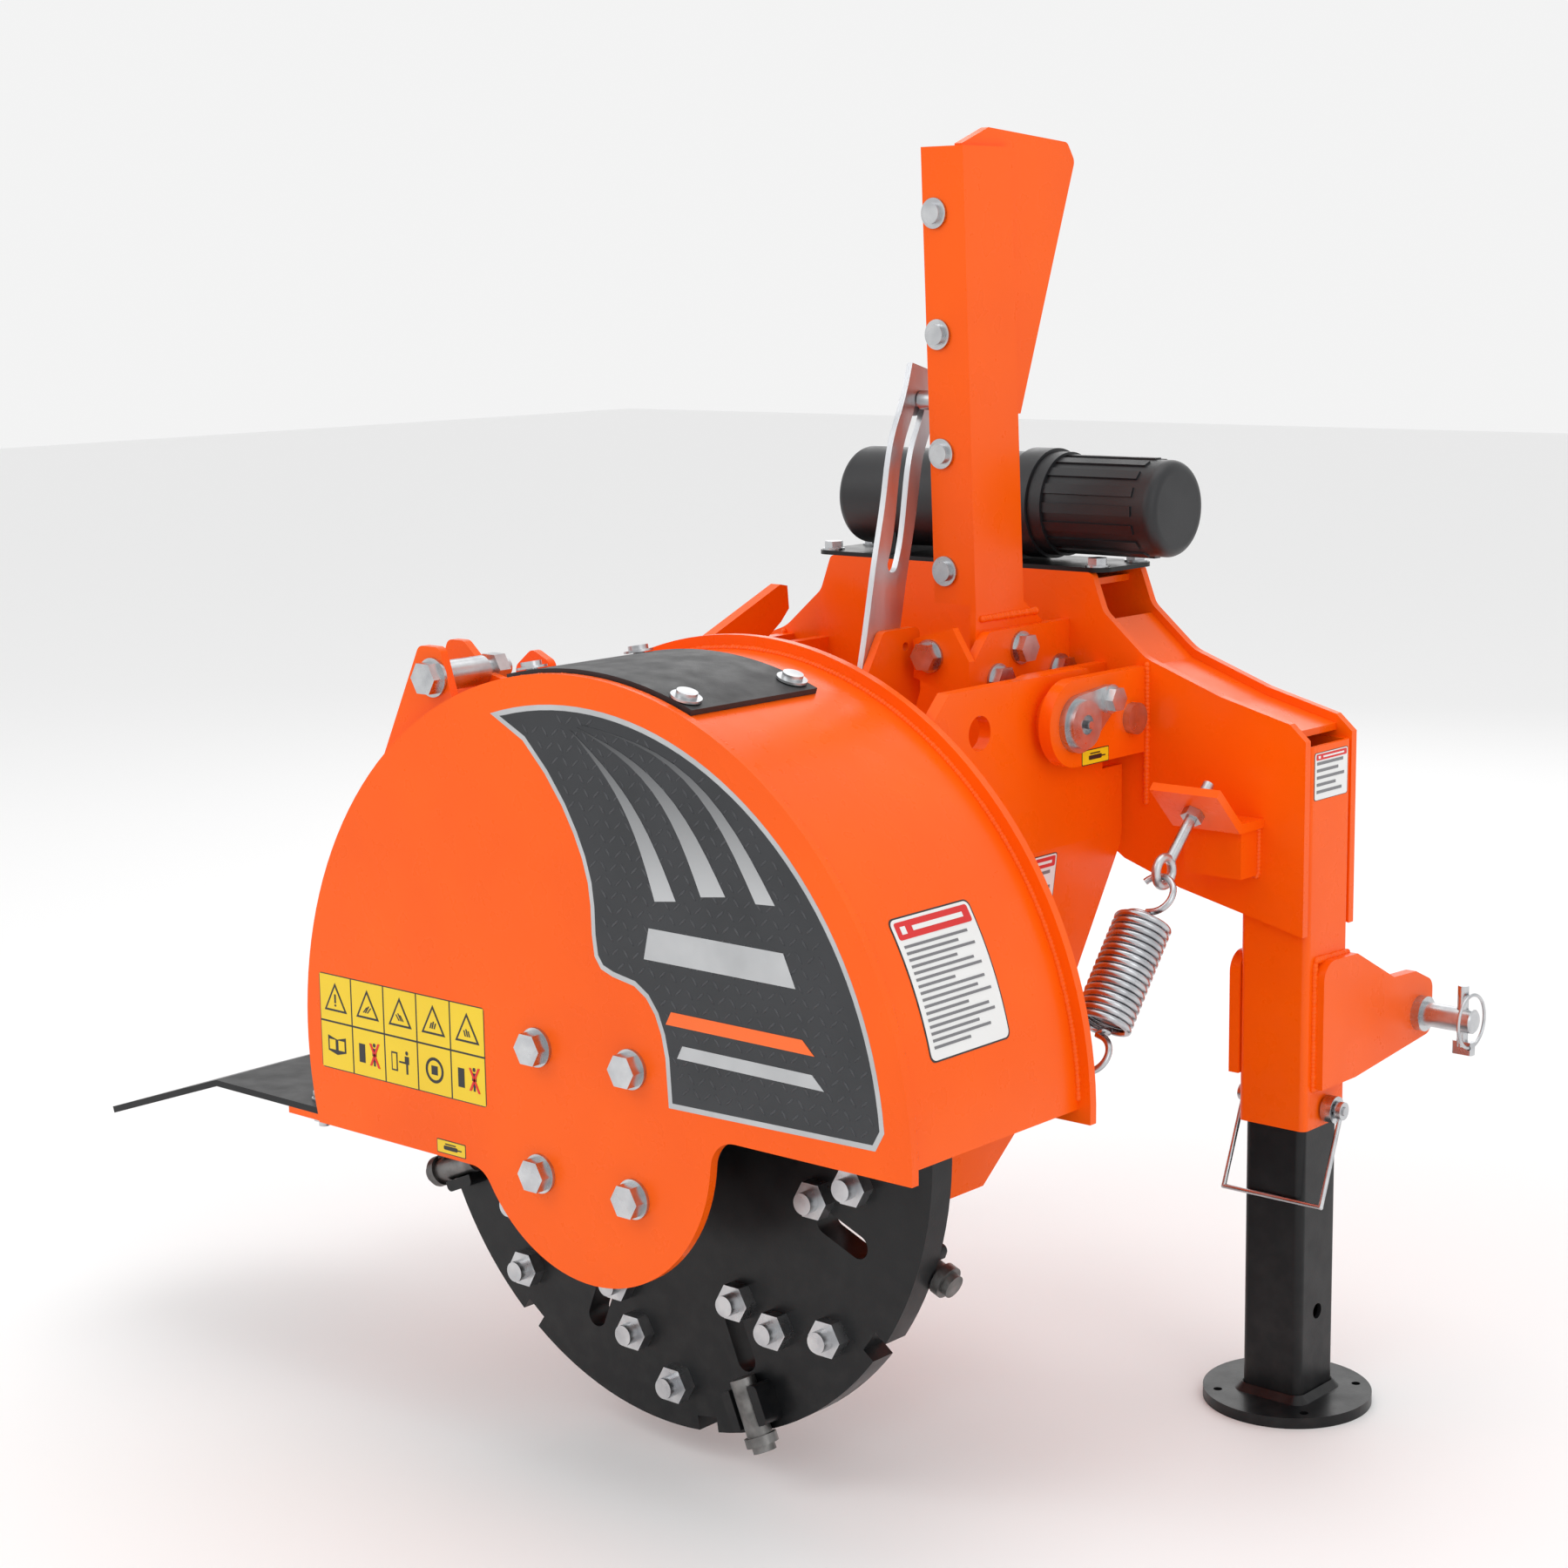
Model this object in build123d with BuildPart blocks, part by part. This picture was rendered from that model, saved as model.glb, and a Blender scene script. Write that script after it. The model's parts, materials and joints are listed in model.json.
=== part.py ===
from build123d import *
from math import asin, cos, hypot, radians, sin, sqrt
import os

# Three-point-hitch stump grinder, in millimetres.
# X runs across the machine, +Y points to the tractor and +Z up. The origin is the centre of the
# power take-off stub, on the axis of the cutter shaft. The machine stands on its two stand legs.

SIDES = {"right": 1, "left": -1}
FIT = 0.3            # gap between parts that are only put together
RUN = 0.05           # radial clearance of a part that turns on another
SHANK = 0.3          # radial clearance round a bolt

# Cutter wheel
DISC_R = 290.0
DISC_T = 25.0
DISC_Y = -295.0
TIP_R = 305.0        # circle of the tooth tips
STATIONS = 8         # tooth stations round the wheel
STATION_START = -67.0
SLOT_W = 20.0
SLOT_L = 56.0
SLOT_R = 212.0       # centre of the window beside each tooth
HOLDER_W = 42.0
HOLDER_T = 20.0
TOOTH_R = 11.0
HUB_R = 75.0
HUB_T = 22.0
SHAFT_R = 22.5
STUB_R = 17.4
STUB_LENGTH = 80.0

# Hood
HOOD_FRONT = -400.0  # outer face of the front plate
HOOD_REAR = -178.0   # outer face of the rear plate
PLATE = 8.0
HOOD_R = 348.0
HOOD_CX = -4.0
HOOD_CZ = 22.0
WRAP_T = 6.0
WRAP_SETBACK = 2.0   # wrap below the edge of the front plate
REAR_PROUD = 10.0    # rear plate above the edge of the front plate
HOOD_RIGHT = -1.5    # where the rim ends, in degrees from +X
HOOD_LEFT = 194.2
HEM_Z = -64.0        # bottom edge of the front plate, left of the shaft
SILL_Z = 12.0        # bottom edge of the front plate, right of the shaft
LOBE_R = 140.0
LOBE_FILLET = 26.0
LEDGE_W = 55.0       # folded ledge that carries the deflector

# Bearings
BOLT_SPAN = 109.0    # hole spacing of the square bearing flange
FLANGE = 143.0
FLANGE_T = 18.0
BEARING_R = 50.0
BEARING_L = 46.0
CROSS_Y = -56.0      # front face of the plate that carries the rear bearing
CROSS_T = 12.0

# Frame
BRIDGE_REAR = 98.0   # face of the bridge towards the cutter
TUBE = 68.0
TUBE_WALL = 4.0
TUBE_OUTER_X = 374.0
TUBE_BOTTOM = -59.0
TUBE_TOP = 280.0
CROWN_Z = 418.0
CROWN_X = 160.0
GROUND_Z = -320.0
FOOT_R = 75.0
FOOT_T = 10.0
LEG_TOP = 150.0
LEG_WALL = 4.0
LOCK_Z = -44.0
LOCK_R = 8.0
HITCH_T = 10.0
LINK_PIN_Y = 285.0
LINK_PIN_Z = 14.0
LINK_PIN_R = 11.0    # category 1 lower link pin
LINK_PIN_OUT = 56.0
EAR_X = 26.0         # inner face of each top-link ear
EAR_T = 12.0
TOP_PIN_R = 9.7      # category 1 top link pin hole
TOP_PIN_Y = 232.0
TOP_PIN_Z = 392.0

# Pivot between frame and head
PIVOT_Y = -8.3
PIVOT_Z = 301.0
PIVOT_R = 15.0
ARM_X = 178.0        # inner face of each arm
ARM_T = 12.0
ARM_TOP = 342.0
ARM_BOTTOM = 250.0
ARM_END = 62.0
BRACKET_T = 12.0
BRACKET_GAP = 10.0   # between an arm and the bracket plates beside it
BRACKET_R = 38.0
BOSS_R = 28.0
KEEPER_T = 6.0
PANEL_T = 6.0
STOP_Y = 75.0
STOP_Z = 295.6
STOP_R = 10.0

# Mast and slotted link
MAST_X = 118.0       # outer face of the mast
MAST_W = 45.0
MAST_T = 6.0
MAST_TOP = 788.0
MAST_LEAN = 16.0     # how far the mast leans forward over its height
LUG_T = 10.0
LUG_TOP = 375.0
BAR_W = 18.0
LINK_X = 47.0
LINK_T = 6.0
LINK_BOLT_Y = -18.0
LINK_BOLT_Z = 573.5
LINK_BOLT_R = 6.0
LINK_HINGE_Y = -110.0
LINK_HINGE_Z = 250.0
LINK_RATIO = 0.75    # how far the link tilts against the head, for each degree of pitch
PITCH_MAX = 20.0

# Springs
SPRING_X = 300.0
SPRING_R = 22.0      # mean radius of the coil
SPRING_WIRE = 6.0
SPRING_BODY = 112.0  # length of the coil between its hooks
HOOK_R = 17.0
LUG_HOLE_R = 7.3
EYE_Y = -4.0
EYE_Z = 182.0
TAB_Y = -123.0
TAB_Z = 30.0
EYE_R = 12.0
EYE_WIRE = 8.0

# Document canister
CAN_R = 46.0
CAN_Y = 140.0
CAN_Z = 474.0
CAN_LEFT = -141.0
CAN_SPLIT = 84.0
CAN_RIGHT = 216.0
CAN_WALL = 3.0
CAN_PLATE_T = 4.0        # plate under the canister

os.makedirs("parts", exist_ok=True)


def save(builder, name):
    """Label a finished sub-part and write it to its own file."""
    builder.part.label = name
    export_step(builder.part, f"parts/{name}.step")


def across(y):
    """Plane across the machine at y: local x is X, local y is Z, and it faces -Y."""
    return Plane.XZ.offset(-y)


def along(x):
    """Plane along the machine at x: local x is Y, local y is Z, and it faces +X."""
    return Plane.YZ.offset(x)


def seat_at(plane, u, v):
    """The same plane with its origin moved by u and v along its own axes."""
    return Plane(plane.from_local_coords((u, v, 0)), x_dir=plane.x_dir, z_dir=plane.z_dir)


def disc(plane, radius, length, mode=Mode.ADD):
    """Add a round bar that stands on a plane to the current part."""
    with BuildSketch(plane) as circle:
        Circle(radius)
    extrude(circle.sketch, amount=length, mode=mode)


def hexagon(plane, width, length):
    """Add a six-sided prism that stands on a plane, as wide across its flats as given."""
    with BuildSketch(plane) as outline:
        RegularPolygon(width / 2, 6, major_radius=False)
    extrude(outline.sketch, amount=length)


def hex_bolt(seat, radius, grip, nut=True):
    """Add a hex bolt: its washer lies on the seat plane and its nut on the far side of the grip."""
    washer = 0.35 * radius
    disc(seat, 2.1 * radius, washer)
    hexagon(seat.offset(washer), 3.2 * radius, 1.3 * radius)
    if nut:
        disc(seat.offset(washer), radius, -(grip + washer + 2.6 * radius))
        hexagon(seat.offset(-grip), 3.2 * radius, -1.6 * radius)
    else:
        disc(seat.offset(washer), radius, -(grip + washer))


def button_bolt(seat, radius, grip):
    """Add a domed bolt on a wide washer, with its shank through the seat plane."""
    disc(seat, 2.6 * radius, 0.4 * radius)
    disc(seat.offset(0.4 * radius), 1.75 * radius, 0.8 * radius)
    disc(seat, radius, -grip)


def ring_points(radius, count, start):
    """Points on a circle about the shaft, as (x, z, angle)."""
    angles = [start + 360 / count * i for i in range(count)]
    return [(radius * cos(radians(a)), radius * sin(radians(a)), a) for a in angles]


# ---------------------------------------------------------------- cutter wheel and shaft

disc_front = DISC_Y - DISC_T / 2
disc_rear = DISC_Y + DISC_T / 2
stations = ring_points(1.0, STATIONS, STATION_START)
nut_places = [(250.0, -20.0), (216.0, -32.0), (181.0, 5.0)]   # radius, and angle from the station
wheel_bolt_r = 9.0
holder_r = DISC_R - 24

with BuildPart() as cutter_disc:
    with BuildSketch(across(disc_rear)):
        Circle(DISC_R)
        Circle(SHAFT_R + FIT, mode=Mode.SUBTRACT)
        for x, z, angle in stations:
            with Locations(Location((x * SLOT_R, z * SLOT_R), angle)):
                SlotOverall(SLOT_L, SLOT_W, mode=Mode.SUBTRACT)
            notch = angle - 14
            with Locations(Location((DISC_R * cos(radians(notch)), DISC_R * sin(radians(notch))), notch)):
                Rectangle(26, 22, mode=Mode.SUBTRACT)
            for radius, offset in nut_places:
                turn = radians(angle + offset)
                with Locations((radius * cos(turn), radius * sin(turn))):
                    Circle(wheel_bolt_r + SHANK, mode=Mode.SUBTRACT)
    extrude(amount=DISC_T)
save(cutter_disc, "cutter_disc")

with BuildPart() as tooth_holders:
    for index, (x, z, angle) in enumerate(stations):
        front = index % 2 == 0
        face = across(disc_front) if front else across(disc_rear)
        reach = HOLDER_T if front else -HOLDER_T
        with BuildSketch(face) as block:
            with Locations(Location((x * holder_r, z * holder_r), angle)):
                RectangleRounded(34, HOLDER_W, 5)
            with Locations(Location((x * holder_r, z * holder_r), angle)):
                Rectangle(60, 2 * TOOTH_R + 2 * RUN, mode=Mode.SUBTRACT)
        extrude(block.sketch, amount=reach)
save(tooth_holders, "tooth_holders")

with BuildPart() as teeth:
    for index, (x, z, angle) in enumerate(stations):
        front = index % 2 == 0
        level = disc_front - TOOTH_R if front else disc_rear + TOOTH_R
        start = DISC_R - 48
        root = Plane((x * start, level, z * start), x_dir=(0, 1, 0), z_dir=(x, 0, z))
        disc(root, TOOTH_R, TIP_R - start - 14)
        disc(root.offset(TIP_R - start - 14), TOOTH_R + 3, 8)
        disc(root.offset(TIP_R - start - 6), TOOTH_R - 1, 6)
save(teeth, "teeth")

with BuildPart() as wheel_bolts:
    for x, z, angle in stations:
        for radius, offset in nut_places:
            turn = radians(angle + offset)
            place = (radius * cos(turn), radius * sin(turn))
            seat = Plane((place[0], disc_front, place[1]), x_dir=(1, 0, 0), z_dir=(0, -1, 0))
            hexagon(seat, 29, 12)
            hexagon(seat.offset(-DISC_T), 29, -11)
            disc(seat.offset(22), wheel_bolt_r, -(DISC_T + 33))
save(wheel_bolts, "wheel_bolts")

with BuildPart() as cutter_hub:
    disc(across(disc_rear), HUB_R, -HUB_T)
    disc(across(disc_front), HUB_R, HUB_T)
    disc(across(disc_rear + HUB_T), SHAFT_R + FIT, DISC_T + 2 * HUB_T, mode=Mode.SUBTRACT)
save(cutter_hub, "cutter_hub")

front_bearing_face = HOOD_FRONT + PLATE
with BuildPart() as cutter_shaft:
    disc(across(front_bearing_face + 1), SHAFT_R, front_bearing_face + 1 - (STUB_LENGTH / -2))
    disc(across(-STUB_LENGTH / 2), STUB_R, -STUB_LENGTH)
    chamfer(cutter_shaft.faces().sort_by(Axis.Y)[-1].edges(), 1.5)
save(cutter_shaft, "cutter_shaft")

# ---------------------------------------------------------------- hood

bolt_corners = [(sx * BOLT_SPAN / 2, sz * BOLT_SPAN / 2) for sx in (-1, 1) for sz in (-1, 1)]
flange_bolt_r = 8.0
joint_left = (-sqrt(LOBE_R ** 2 - HEM_Z ** 2), HEM_Z)
joint_right = (sqrt(LOBE_R ** 2 - SILL_Z ** 2), SILL_Z)


def hood_rim(angle, radius=HOOD_R):
    """Point on the hood's round rim."""
    return (HOOD_CX + radius * cos(radians(angle)), HOOD_CZ + radius * sin(radians(angle)))


with BuildPart() as hood_front_plate:
    with BuildSketch(across(HOOD_FRONT + PLATE)) as outline:
        with BuildLine():
            rim = CenterArc((HOOD_CX, HOOD_CZ), HOOD_R, HOOD_RIGHT, HOOD_LEFT - HOOD_RIGHT)
            Polyline(rim @ 1, (-LOBE_R / 2, HEM_Z), (LOBE_R / 2, SILL_Z), rim @ 0)
        make_face()
        Circle(LOBE_R)
        inner_corners = [v for v in outline.vertices()
                         if min(hypot(v.X - c[0], v.Y - c[1]) for c in (joint_left, joint_right)) < 0.5]
        fillet(inner_corners, LOBE_FILLET)
        with Locations(bolt_corners):
            Circle(flange_bolt_r + SHANK, mode=Mode.SUBTRACT)
    extrude(amount=PLATE)
save(hood_front_plate, "hood_front_plate")

rear_r = HOOD_R + REAR_PROUD
with BuildPart() as hood_rear_plate:
    with BuildSketch(across(HOOD_REAR)):
        with BuildLine():
            rim = CenterArc((HOOD_CX, HOOD_CZ), rear_r, HOOD_RIGHT, HOOD_LEFT - HOOD_RIGHT)
            Polyline(rim @ 1, (-ARM_X, HEM_Z), (-ARM_X / 2, -110), (ARM_X / 2, -110), (ARM_X, SILL_Z), rim @ 0)
        make_face()
        Circle(SHAFT_R + 14, mode=Mode.SUBTRACT)
    extrude(amount=PLATE)
save(hood_rear_plate, "hood_rear_plate")

wrap_outer = HOOD_R - WRAP_SETBACK
wrap_inner = wrap_outer - WRAP_T
wrap_front = HOOD_FRONT + PLATE
wrap_rear = HOOD_REAR - PLATE
wrap_left = hood_rim(HOOD_LEFT, wrap_outer)
ledge_top = wrap_left[1] + 3
ledge_left = wrap_left[0] - LEDGE_W
deflector_bolt_x = wrap_left[0] - 32
deflector_bolt_y = [wrap_front + 22, wrap_rear - 22]
flap_from, flap_to = 69.5, 104.0
flap_front, flap_rear = wrap_front + 3, wrap_front + 153
flap_t = 5.0
flap_bolts = [(angle, y) for angle in (flap_from + 3, flap_to - 3) for y in (flap_front + 12, flap_rear - 12)]
small_bolt_r = 5.0


def radial_plane(angle, radius, y):
    """Plane on the hood's round skin, facing outwards."""
    x, z = hood_rim(angle, radius)
    return Plane((x, y, z), x_dir=(0, 1, 0), z_dir=(cos(radians(angle)), 0, sin(radians(angle))))


with BuildPart() as hood_wrap:
    with BuildSketch(across(wrap_rear)):
        with BuildLine():
            outer = CenterArc((HOOD_CX, HOOD_CZ), wrap_outer, HOOD_RIGHT + 1.8, HOOD_LEFT - HOOD_RIGHT - 1.8)
            inner = CenterArc((HOOD_CX, HOOD_CZ), wrap_inner, HOOD_RIGHT + 1.8, HOOD_LEFT - HOOD_RIGHT - 1.8)
            Line(outer @ 0, inner @ 0)
            Line(outer @ 1, inner @ 1)
        make_face()
        with Locations(((ledge_left + wrap_left[0] + 4) / 2, ledge_top - WRAP_T / 2)):
            Rectangle(LEDGE_W + 4, WRAP_T)
    extrude(amount=wrap_rear - wrap_front)
    for angle, y in flap_bolts:
        disc(radial_plane(angle, wrap_outer + 2, y), small_bolt_r + SHANK, -WRAP_T - 6, mode=Mode.SUBTRACT)
    for y in deflector_bolt_y:
        disc(seat_at(Plane.XY.offset(ledge_top + 1), deflector_bolt_x, y), small_bolt_r + SHANK,
             -WRAP_T - 2, mode=Mode.SUBTRACT)
save(hood_wrap, "hood_wrap")

with BuildPart() as rubber_flap:
    with BuildSketch(across(flap_rear)):
        with BuildLine():
            low = CenterArc((HOOD_CX, HOOD_CZ), wrap_outer + FIT, flap_from, flap_to - flap_from)
            top = CenterArc((HOOD_CX, HOOD_CZ), wrap_outer + FIT + flap_t, flap_from, flap_to - flap_from)
            Line(low @ 0, top @ 0)
            Line(low @ 1, top @ 1)
        make_face()
    extrude(amount=flap_rear - flap_front)
    for angle, y in flap_bolts:
        disc(radial_plane(angle, wrap_outer + flap_t + 3, y), small_bolt_r + SHANK, -flap_t - 4,
             mode=Mode.SUBTRACT)
save(rubber_flap, "rubber_flap")

# Ears on the hood's upper left shoulder: two gussets joined by a bolt and sleeve, and a small lug
ear_t = 8.0
ear_hole = (-184.0, 352.0)
ear_planes = [HOOD_FRONT + 24, HOOD_FRONT + 79]
lug_hole = (-196.0, 342.0)
ear_outlines = [
    [(-292, 200), (-202, 378), (-176, 378), (-150, 300)],
    [(-300, 200), (-226, 376), (-206, 376), (-176, 350), (-130, 340), (-130, 300)],
]
with BuildPart() as hood_ears:
    for y, points in zip(ear_planes, ear_outlines):
        with BuildSketch(across(y)) as ear:
            with BuildLine():
                Polyline(*points, close=True)
            make_face()
            fillet([v for v in ear.vertices() if v.Y > 370], 8)
            with Locations((HOOD_CX, HOOD_CZ)):
                Circle(wrap_outer, mode=Mode.SUBTRACT)
            with Locations(ear_hole):
                Circle(8 + SHANK, mode=Mode.SUBTRACT)
        extrude(ear.sketch, amount=ear_t)
    with BuildSketch(across(HOOD_FRONT + 150)) as lug:
        with BuildLine():
            Polyline((-222, 290), (-216, 346), (-196, 362), (-174, 352), (-168, 300), close=True)
        make_face()
        fillet([v for v in lug.vertices() if v.Y > 340], 8)
        with Locations((HOOD_CX, HOOD_CZ)):
            Circle(wrap_outer, mode=Mode.SUBTRACT)
        with Locations(lug_hole):
            Circle(8, mode=Mode.SUBTRACT)
    extrude(lug.sketch, amount=ear_t)
save(hood_ears, "hood_ears")

# Black steel deflector on the ledge
deflector_t = 6.0
bend_x = -500.0
tip_x = -665.0
tip_drop = 56.0
with BuildPart() as deflector:
    with BuildSketch(across(wrap_rear)):
        with BuildLine():
            Polyline((wrap_left[0] - 4, ledge_top), (bend_x, ledge_top), (tip_x, ledge_top - tip_drop),
                     (tip_x - 2, ledge_top - tip_drop + deflector_t), (bend_x - 1, ledge_top + deflector_t),
                     (wrap_left[0] - 4, ledge_top + deflector_t), close=True)
        make_face()
    extrude(amount=wrap_rear - wrap_front)
    for y in deflector_bolt_y:
        disc(seat_at(Plane.XY.offset(ledge_top - 1), deflector_bolt_x, y), small_bolt_r + SHANK,
             deflector_t + 2, mode=Mode.SUBTRACT)
save(deflector, "deflector")

with BuildPart() as hood_bolts:
    for angle, y in flap_bolts:
        button_bolt(radial_plane(angle, wrap_outer + FIT + flap_t + 0.8, y), small_bolt_r, flap_t + WRAP_T + 4)
    for y in deflector_bolt_y:
        hex_bolt(seat_at(Plane.XY.offset(ledge_top + deflector_t), deflector_bolt_x, y),
                 small_bolt_r, deflector_t + WRAP_T)
    ear_seat = seat_at(across(ear_planes[0] - ear_t), ear_hole[0], ear_hole[1])
    hex_bolt(ear_seat, 8.0, ear_planes[1] - ear_planes[0] + ear_t)
    disc(ear_seat.offset(-ear_t), 13, ear_planes[0] - ear_planes[1] + ear_t)

# ---------------------------------------------------------------- bearings and cross plate

for name, face, direction in (("front_bearing", front_bearing_face, -1), ("rear_bearing", CROSS_Y, 1)):
    with BuildPart() as bearing:
        seat = across(face)
        with BuildSketch(seat):
            RectangleRounded(FLANGE, FLANGE, 20)
            Circle(SHAFT_R + RUN, mode=Mode.SUBTRACT)
            with Locations(bolt_corners):
                Circle(flange_bolt_r + SHANK, mode=Mode.SUBTRACT)
        extrude(amount=direction * FLANGE_T)
        disc(seat.offset(direction * FLANGE_T), BEARING_R, direction * (BEARING_L - FLANGE_T))
        disc(seat, SHAFT_R + RUN, direction * BEARING_L, mode=Mode.SUBTRACT)
    save(bearing, name)

panel_inner = ARM_X + ARM_T - PANEL_T
panel_foot = 40.0    # how far each side panel leans in at its bottom
panel_bend = 190.0
panel_bottom = -110.0
cross_top = 235.0
cross_bottom = -86.0
cross_half = panel_inner - panel_foot * (panel_bend - cross_bottom) / (panel_bend - panel_bottom)
with BuildPart() as cross_plate:
    with BuildSketch(across(CROSS_Y + CROSS_T)):
        with BuildLine():
            Polyline((-panel_inner, cross_top), (panel_inner, cross_top), (panel_inner, panel_bend),
                     (cross_half, cross_bottom), (-cross_half, cross_bottom), (-panel_inner, panel_bend),
                     close=True)
        make_face()
        Circle(SHAFT_R + 12, mode=Mode.SUBTRACT)
        with Locations(bolt_corners):
            Circle(flange_bolt_r + SHANK, mode=Mode.SUBTRACT)
    extrude(amount=CROSS_T)
save(cross_plate, "cross_plate")

with BuildPart() as head_bolts:
    add(hood_bolts.part)
    for x, z in bolt_corners:
        hex_bolt(seat_at(across(HOOD_FRONT), x, z), flange_bolt_r, PLATE + FLANGE_T)
        hex_bolt(seat_at(across(CROSS_Y - FLANGE_T), x, z), flange_bolt_r, FLANGE_T + CROSS_T)
save(head_bolts, "head_bolts")

# ---------------------------------------------------------------- arms and side panels

hook_bar = [(-73, ARM_TOP - 2), (54, 392), (64, 390), (66, 368), (54, 356), (30, ARM_TOP - 2)]
for side_name, side in SIDES.items():
    with BuildPart() as arm:
        with BuildSketch(along(side * (ARM_X + ARM_T / 2))) as profile:
            with BuildLine():
                Polyline((HOOD_REAR, ARM_BOTTOM), (HOOD_REAR, ARM_TOP - 22), (HOOD_REAR + 22, ARM_TOP),
                         (ARM_END - 24, ARM_TOP), (ARM_END, ARM_TOP - 24), (ARM_END, ARM_BOTTOM), close=True)
            make_face()
            if side < 0:
                with BuildLine():
                    Polyline(*hook_bar, close=True)
                make_face()
            with Locations((-115, 304)):
                Circle(15, mode=Mode.SUBTRACT)
        extrude(profile.sketch, amount=ARM_T / 2, both=True)
        boss = Plane((side * (ARM_X + ARM_T / 2), PIVOT_Y, PIVOT_Z), x_dir=(0, 1, 0), z_dir=(1, 0, 0))
        boss_half = ARM_T / 2 + BRACKET_GAP - FIT
        disc(boss.offset(-boss_half), BOSS_R, 2 * boss_half)
        disc(boss.offset(-boss_half), PIVOT_R + RUN, 2 * boss_half, mode=Mode.SUBTRACT)
    save(arm, f"arm_{side_name}")

    with BuildPart() as side_panel:
        with BuildSketch(across(HOOD_REAR)) as profile:
            with BuildLine():
                top_in = side * panel_inner
                top_out = side * (panel_inner + PANEL_T)
                foot_in = side * (panel_inner - panel_foot)
                foot_out = side * (panel_inner - panel_foot + PANEL_T)
                Polyline((top_in, ARM_BOTTOM), (top_out, ARM_BOTTOM), (top_out, panel_bend),
                         (foot_out, panel_bottom), (foot_in, panel_bottom), (top_in, panel_bend), close=True)
            make_face()
        extrude(profile.sketch, amount=HOOD_REAR - 92)
        with BuildSketch(along(side * panel_inner)) as window:
            with BuildLine():
                Polyline((HOOD_REAR, ARM_BOTTOM), (92, ARM_BOTTOM), (92, 178), (48, 72), (-10, -60),
                         (-60, panel_bottom), (HOOD_REAR, panel_bottom), close=True)
            make_face()
        extrude(window.sketch, amount=80, both=True, mode=Mode.INTERSECT)
    save(side_panel, f"side_panel_{side_name}")

with BuildPart() as spring_lugs:
    for side in SIDES.values():
        with BuildSketch(along(side * SPRING_X)) as lug:
            with Locations((TAB_Y, TAB_Z)):
                Circle(EYE_R)
            with Locations(((HOOD_REAR + TAB_Y) / 2, TAB_Z)):
                Rectangle(TAB_Y - HOOD_REAR, 2 * EYE_R)
            with Locations((TAB_Y, TAB_Z)):
                Circle(LUG_HOLE_R, mode=Mode.SUBTRACT)
        extrude(lug.sketch, amount=3, both=True)
save(spring_lugs, "spring_lugs")

# ---------------------------------------------------------------- slotted link


def turned(point, centre, angle):
    """Turn a (y, z) point about a centre by an angle about +X, in degrees."""
    dy, dz = point[0] - centre[0], point[1] - centre[1]
    c, s = cos(radians(angle)), sin(radians(angle))
    return (centre[0] + dy * c - dz * s, centre[1] + dy * s + dz * c)


def slot_point(pitch):
    """Where the mast's bolt stands in the resting link when the head is pitched."""
    pivot = (PIVOT_Y, PIVOT_Z)
    hinge = turned((LINK_HINGE_Y, LINK_HINGE_Z), pivot, -pitch)
    moved = turned((LINK_BOLT_Y, LINK_BOLT_Z), hinge, pitch * (1 - LINK_RATIO))
    return (moved[0] - hinge[0] + LINK_HINGE_Y, moved[1] - hinge[1] + LINK_HINGE_Z)


link_end = (-60.0, 433.0)
slot_path = [slot_point(PITCH_MAX / 4 * i) for i in range(5)] + [(-46.0, 490.0), link_end]
link_path = [(-9.0, 600.0)] + slot_path[1:] + [(-74.0, 370.0), (-90.0, 310.0), (LINK_HINGE_Y, LINK_HINGE_Z)]
link_half = 22.0
bracket_x = LINK_X + LINK_T + FIT
bracket_t = 8.0
hinge_r = 6.0
with BuildPart() as depth_link:
    with BuildSketch(along(LINK_X)) as band:
        with BuildLine() as spine:
            Spline(*link_path)
        trace(spine.line, line_width=2 * link_half)
        with Locations((LINK_HINGE_Y, LINK_HINGE_Z)):
            Circle(link_half)
            Circle(hinge_r + RUN, mode=Mode.SUBTRACT)
    extrude(band.sketch, amount=LINK_T)
    with BuildSketch(along(LINK_X)) as slot:
        with BuildLine() as slot_spine:
            Spline(*slot_path)
        trace(slot_spine.line, line_width=2 * LINK_BOLT_R + 1.6)
        with Locations(slot_path[0], slot_path[-1]):
            Circle(LINK_BOLT_R + 0.8)
    extrude(slot.sketch, amount=LINK_T, mode=Mode.SUBTRACT)
save(depth_link, "depth_link")

with BuildPart() as link_bracket:
    with BuildSketch(along(bracket_x)) as plate:
        with BuildLine():
            Polyline((HOOD_REAR, 222), (HOOD_REAR, 300), (-118, 322), (-83, 377), (-33, 377), (-33, 320),
                     (-80, 222), close=True)
        make_face()
        fillet([v for v in plate.vertices() if v.Y > 370], 8)
        with Locations((LINK_HINGE_Y, LINK_HINGE_Z)):
            Circle(hinge_r + SHANK, mode=Mode.SUBTRACT)
        with Locations((-53, 361)):
            Circle(4, mode=Mode.SUBTRACT)
    extrude(plate.sketch, amount=bracket_t)
save(link_bracket, "link_bracket")

with BuildPart() as link_hinge_pin:
    hinge_seat = Plane((LINK_X - FIT, LINK_HINGE_Y, LINK_HINGE_Z), x_dir=(0, 1, 0), z_dir=(-1, 0, 0))
    disc(hinge_seat, 12, 3)
    hexagon(hinge_seat.offset(3), 18, 7)
    disc(hinge_seat.offset(3), hinge_r, -(3 + LINK_T + 2 * FIT + bracket_t + 14))
    hexagon(hinge_seat.offset(-(LINK_T + 2 * FIT + bracket_t)), 18, -9)
save(link_hinge_pin, "link_hinge_pin")

# ---------------------------------------------------------------- bridge and legs

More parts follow.
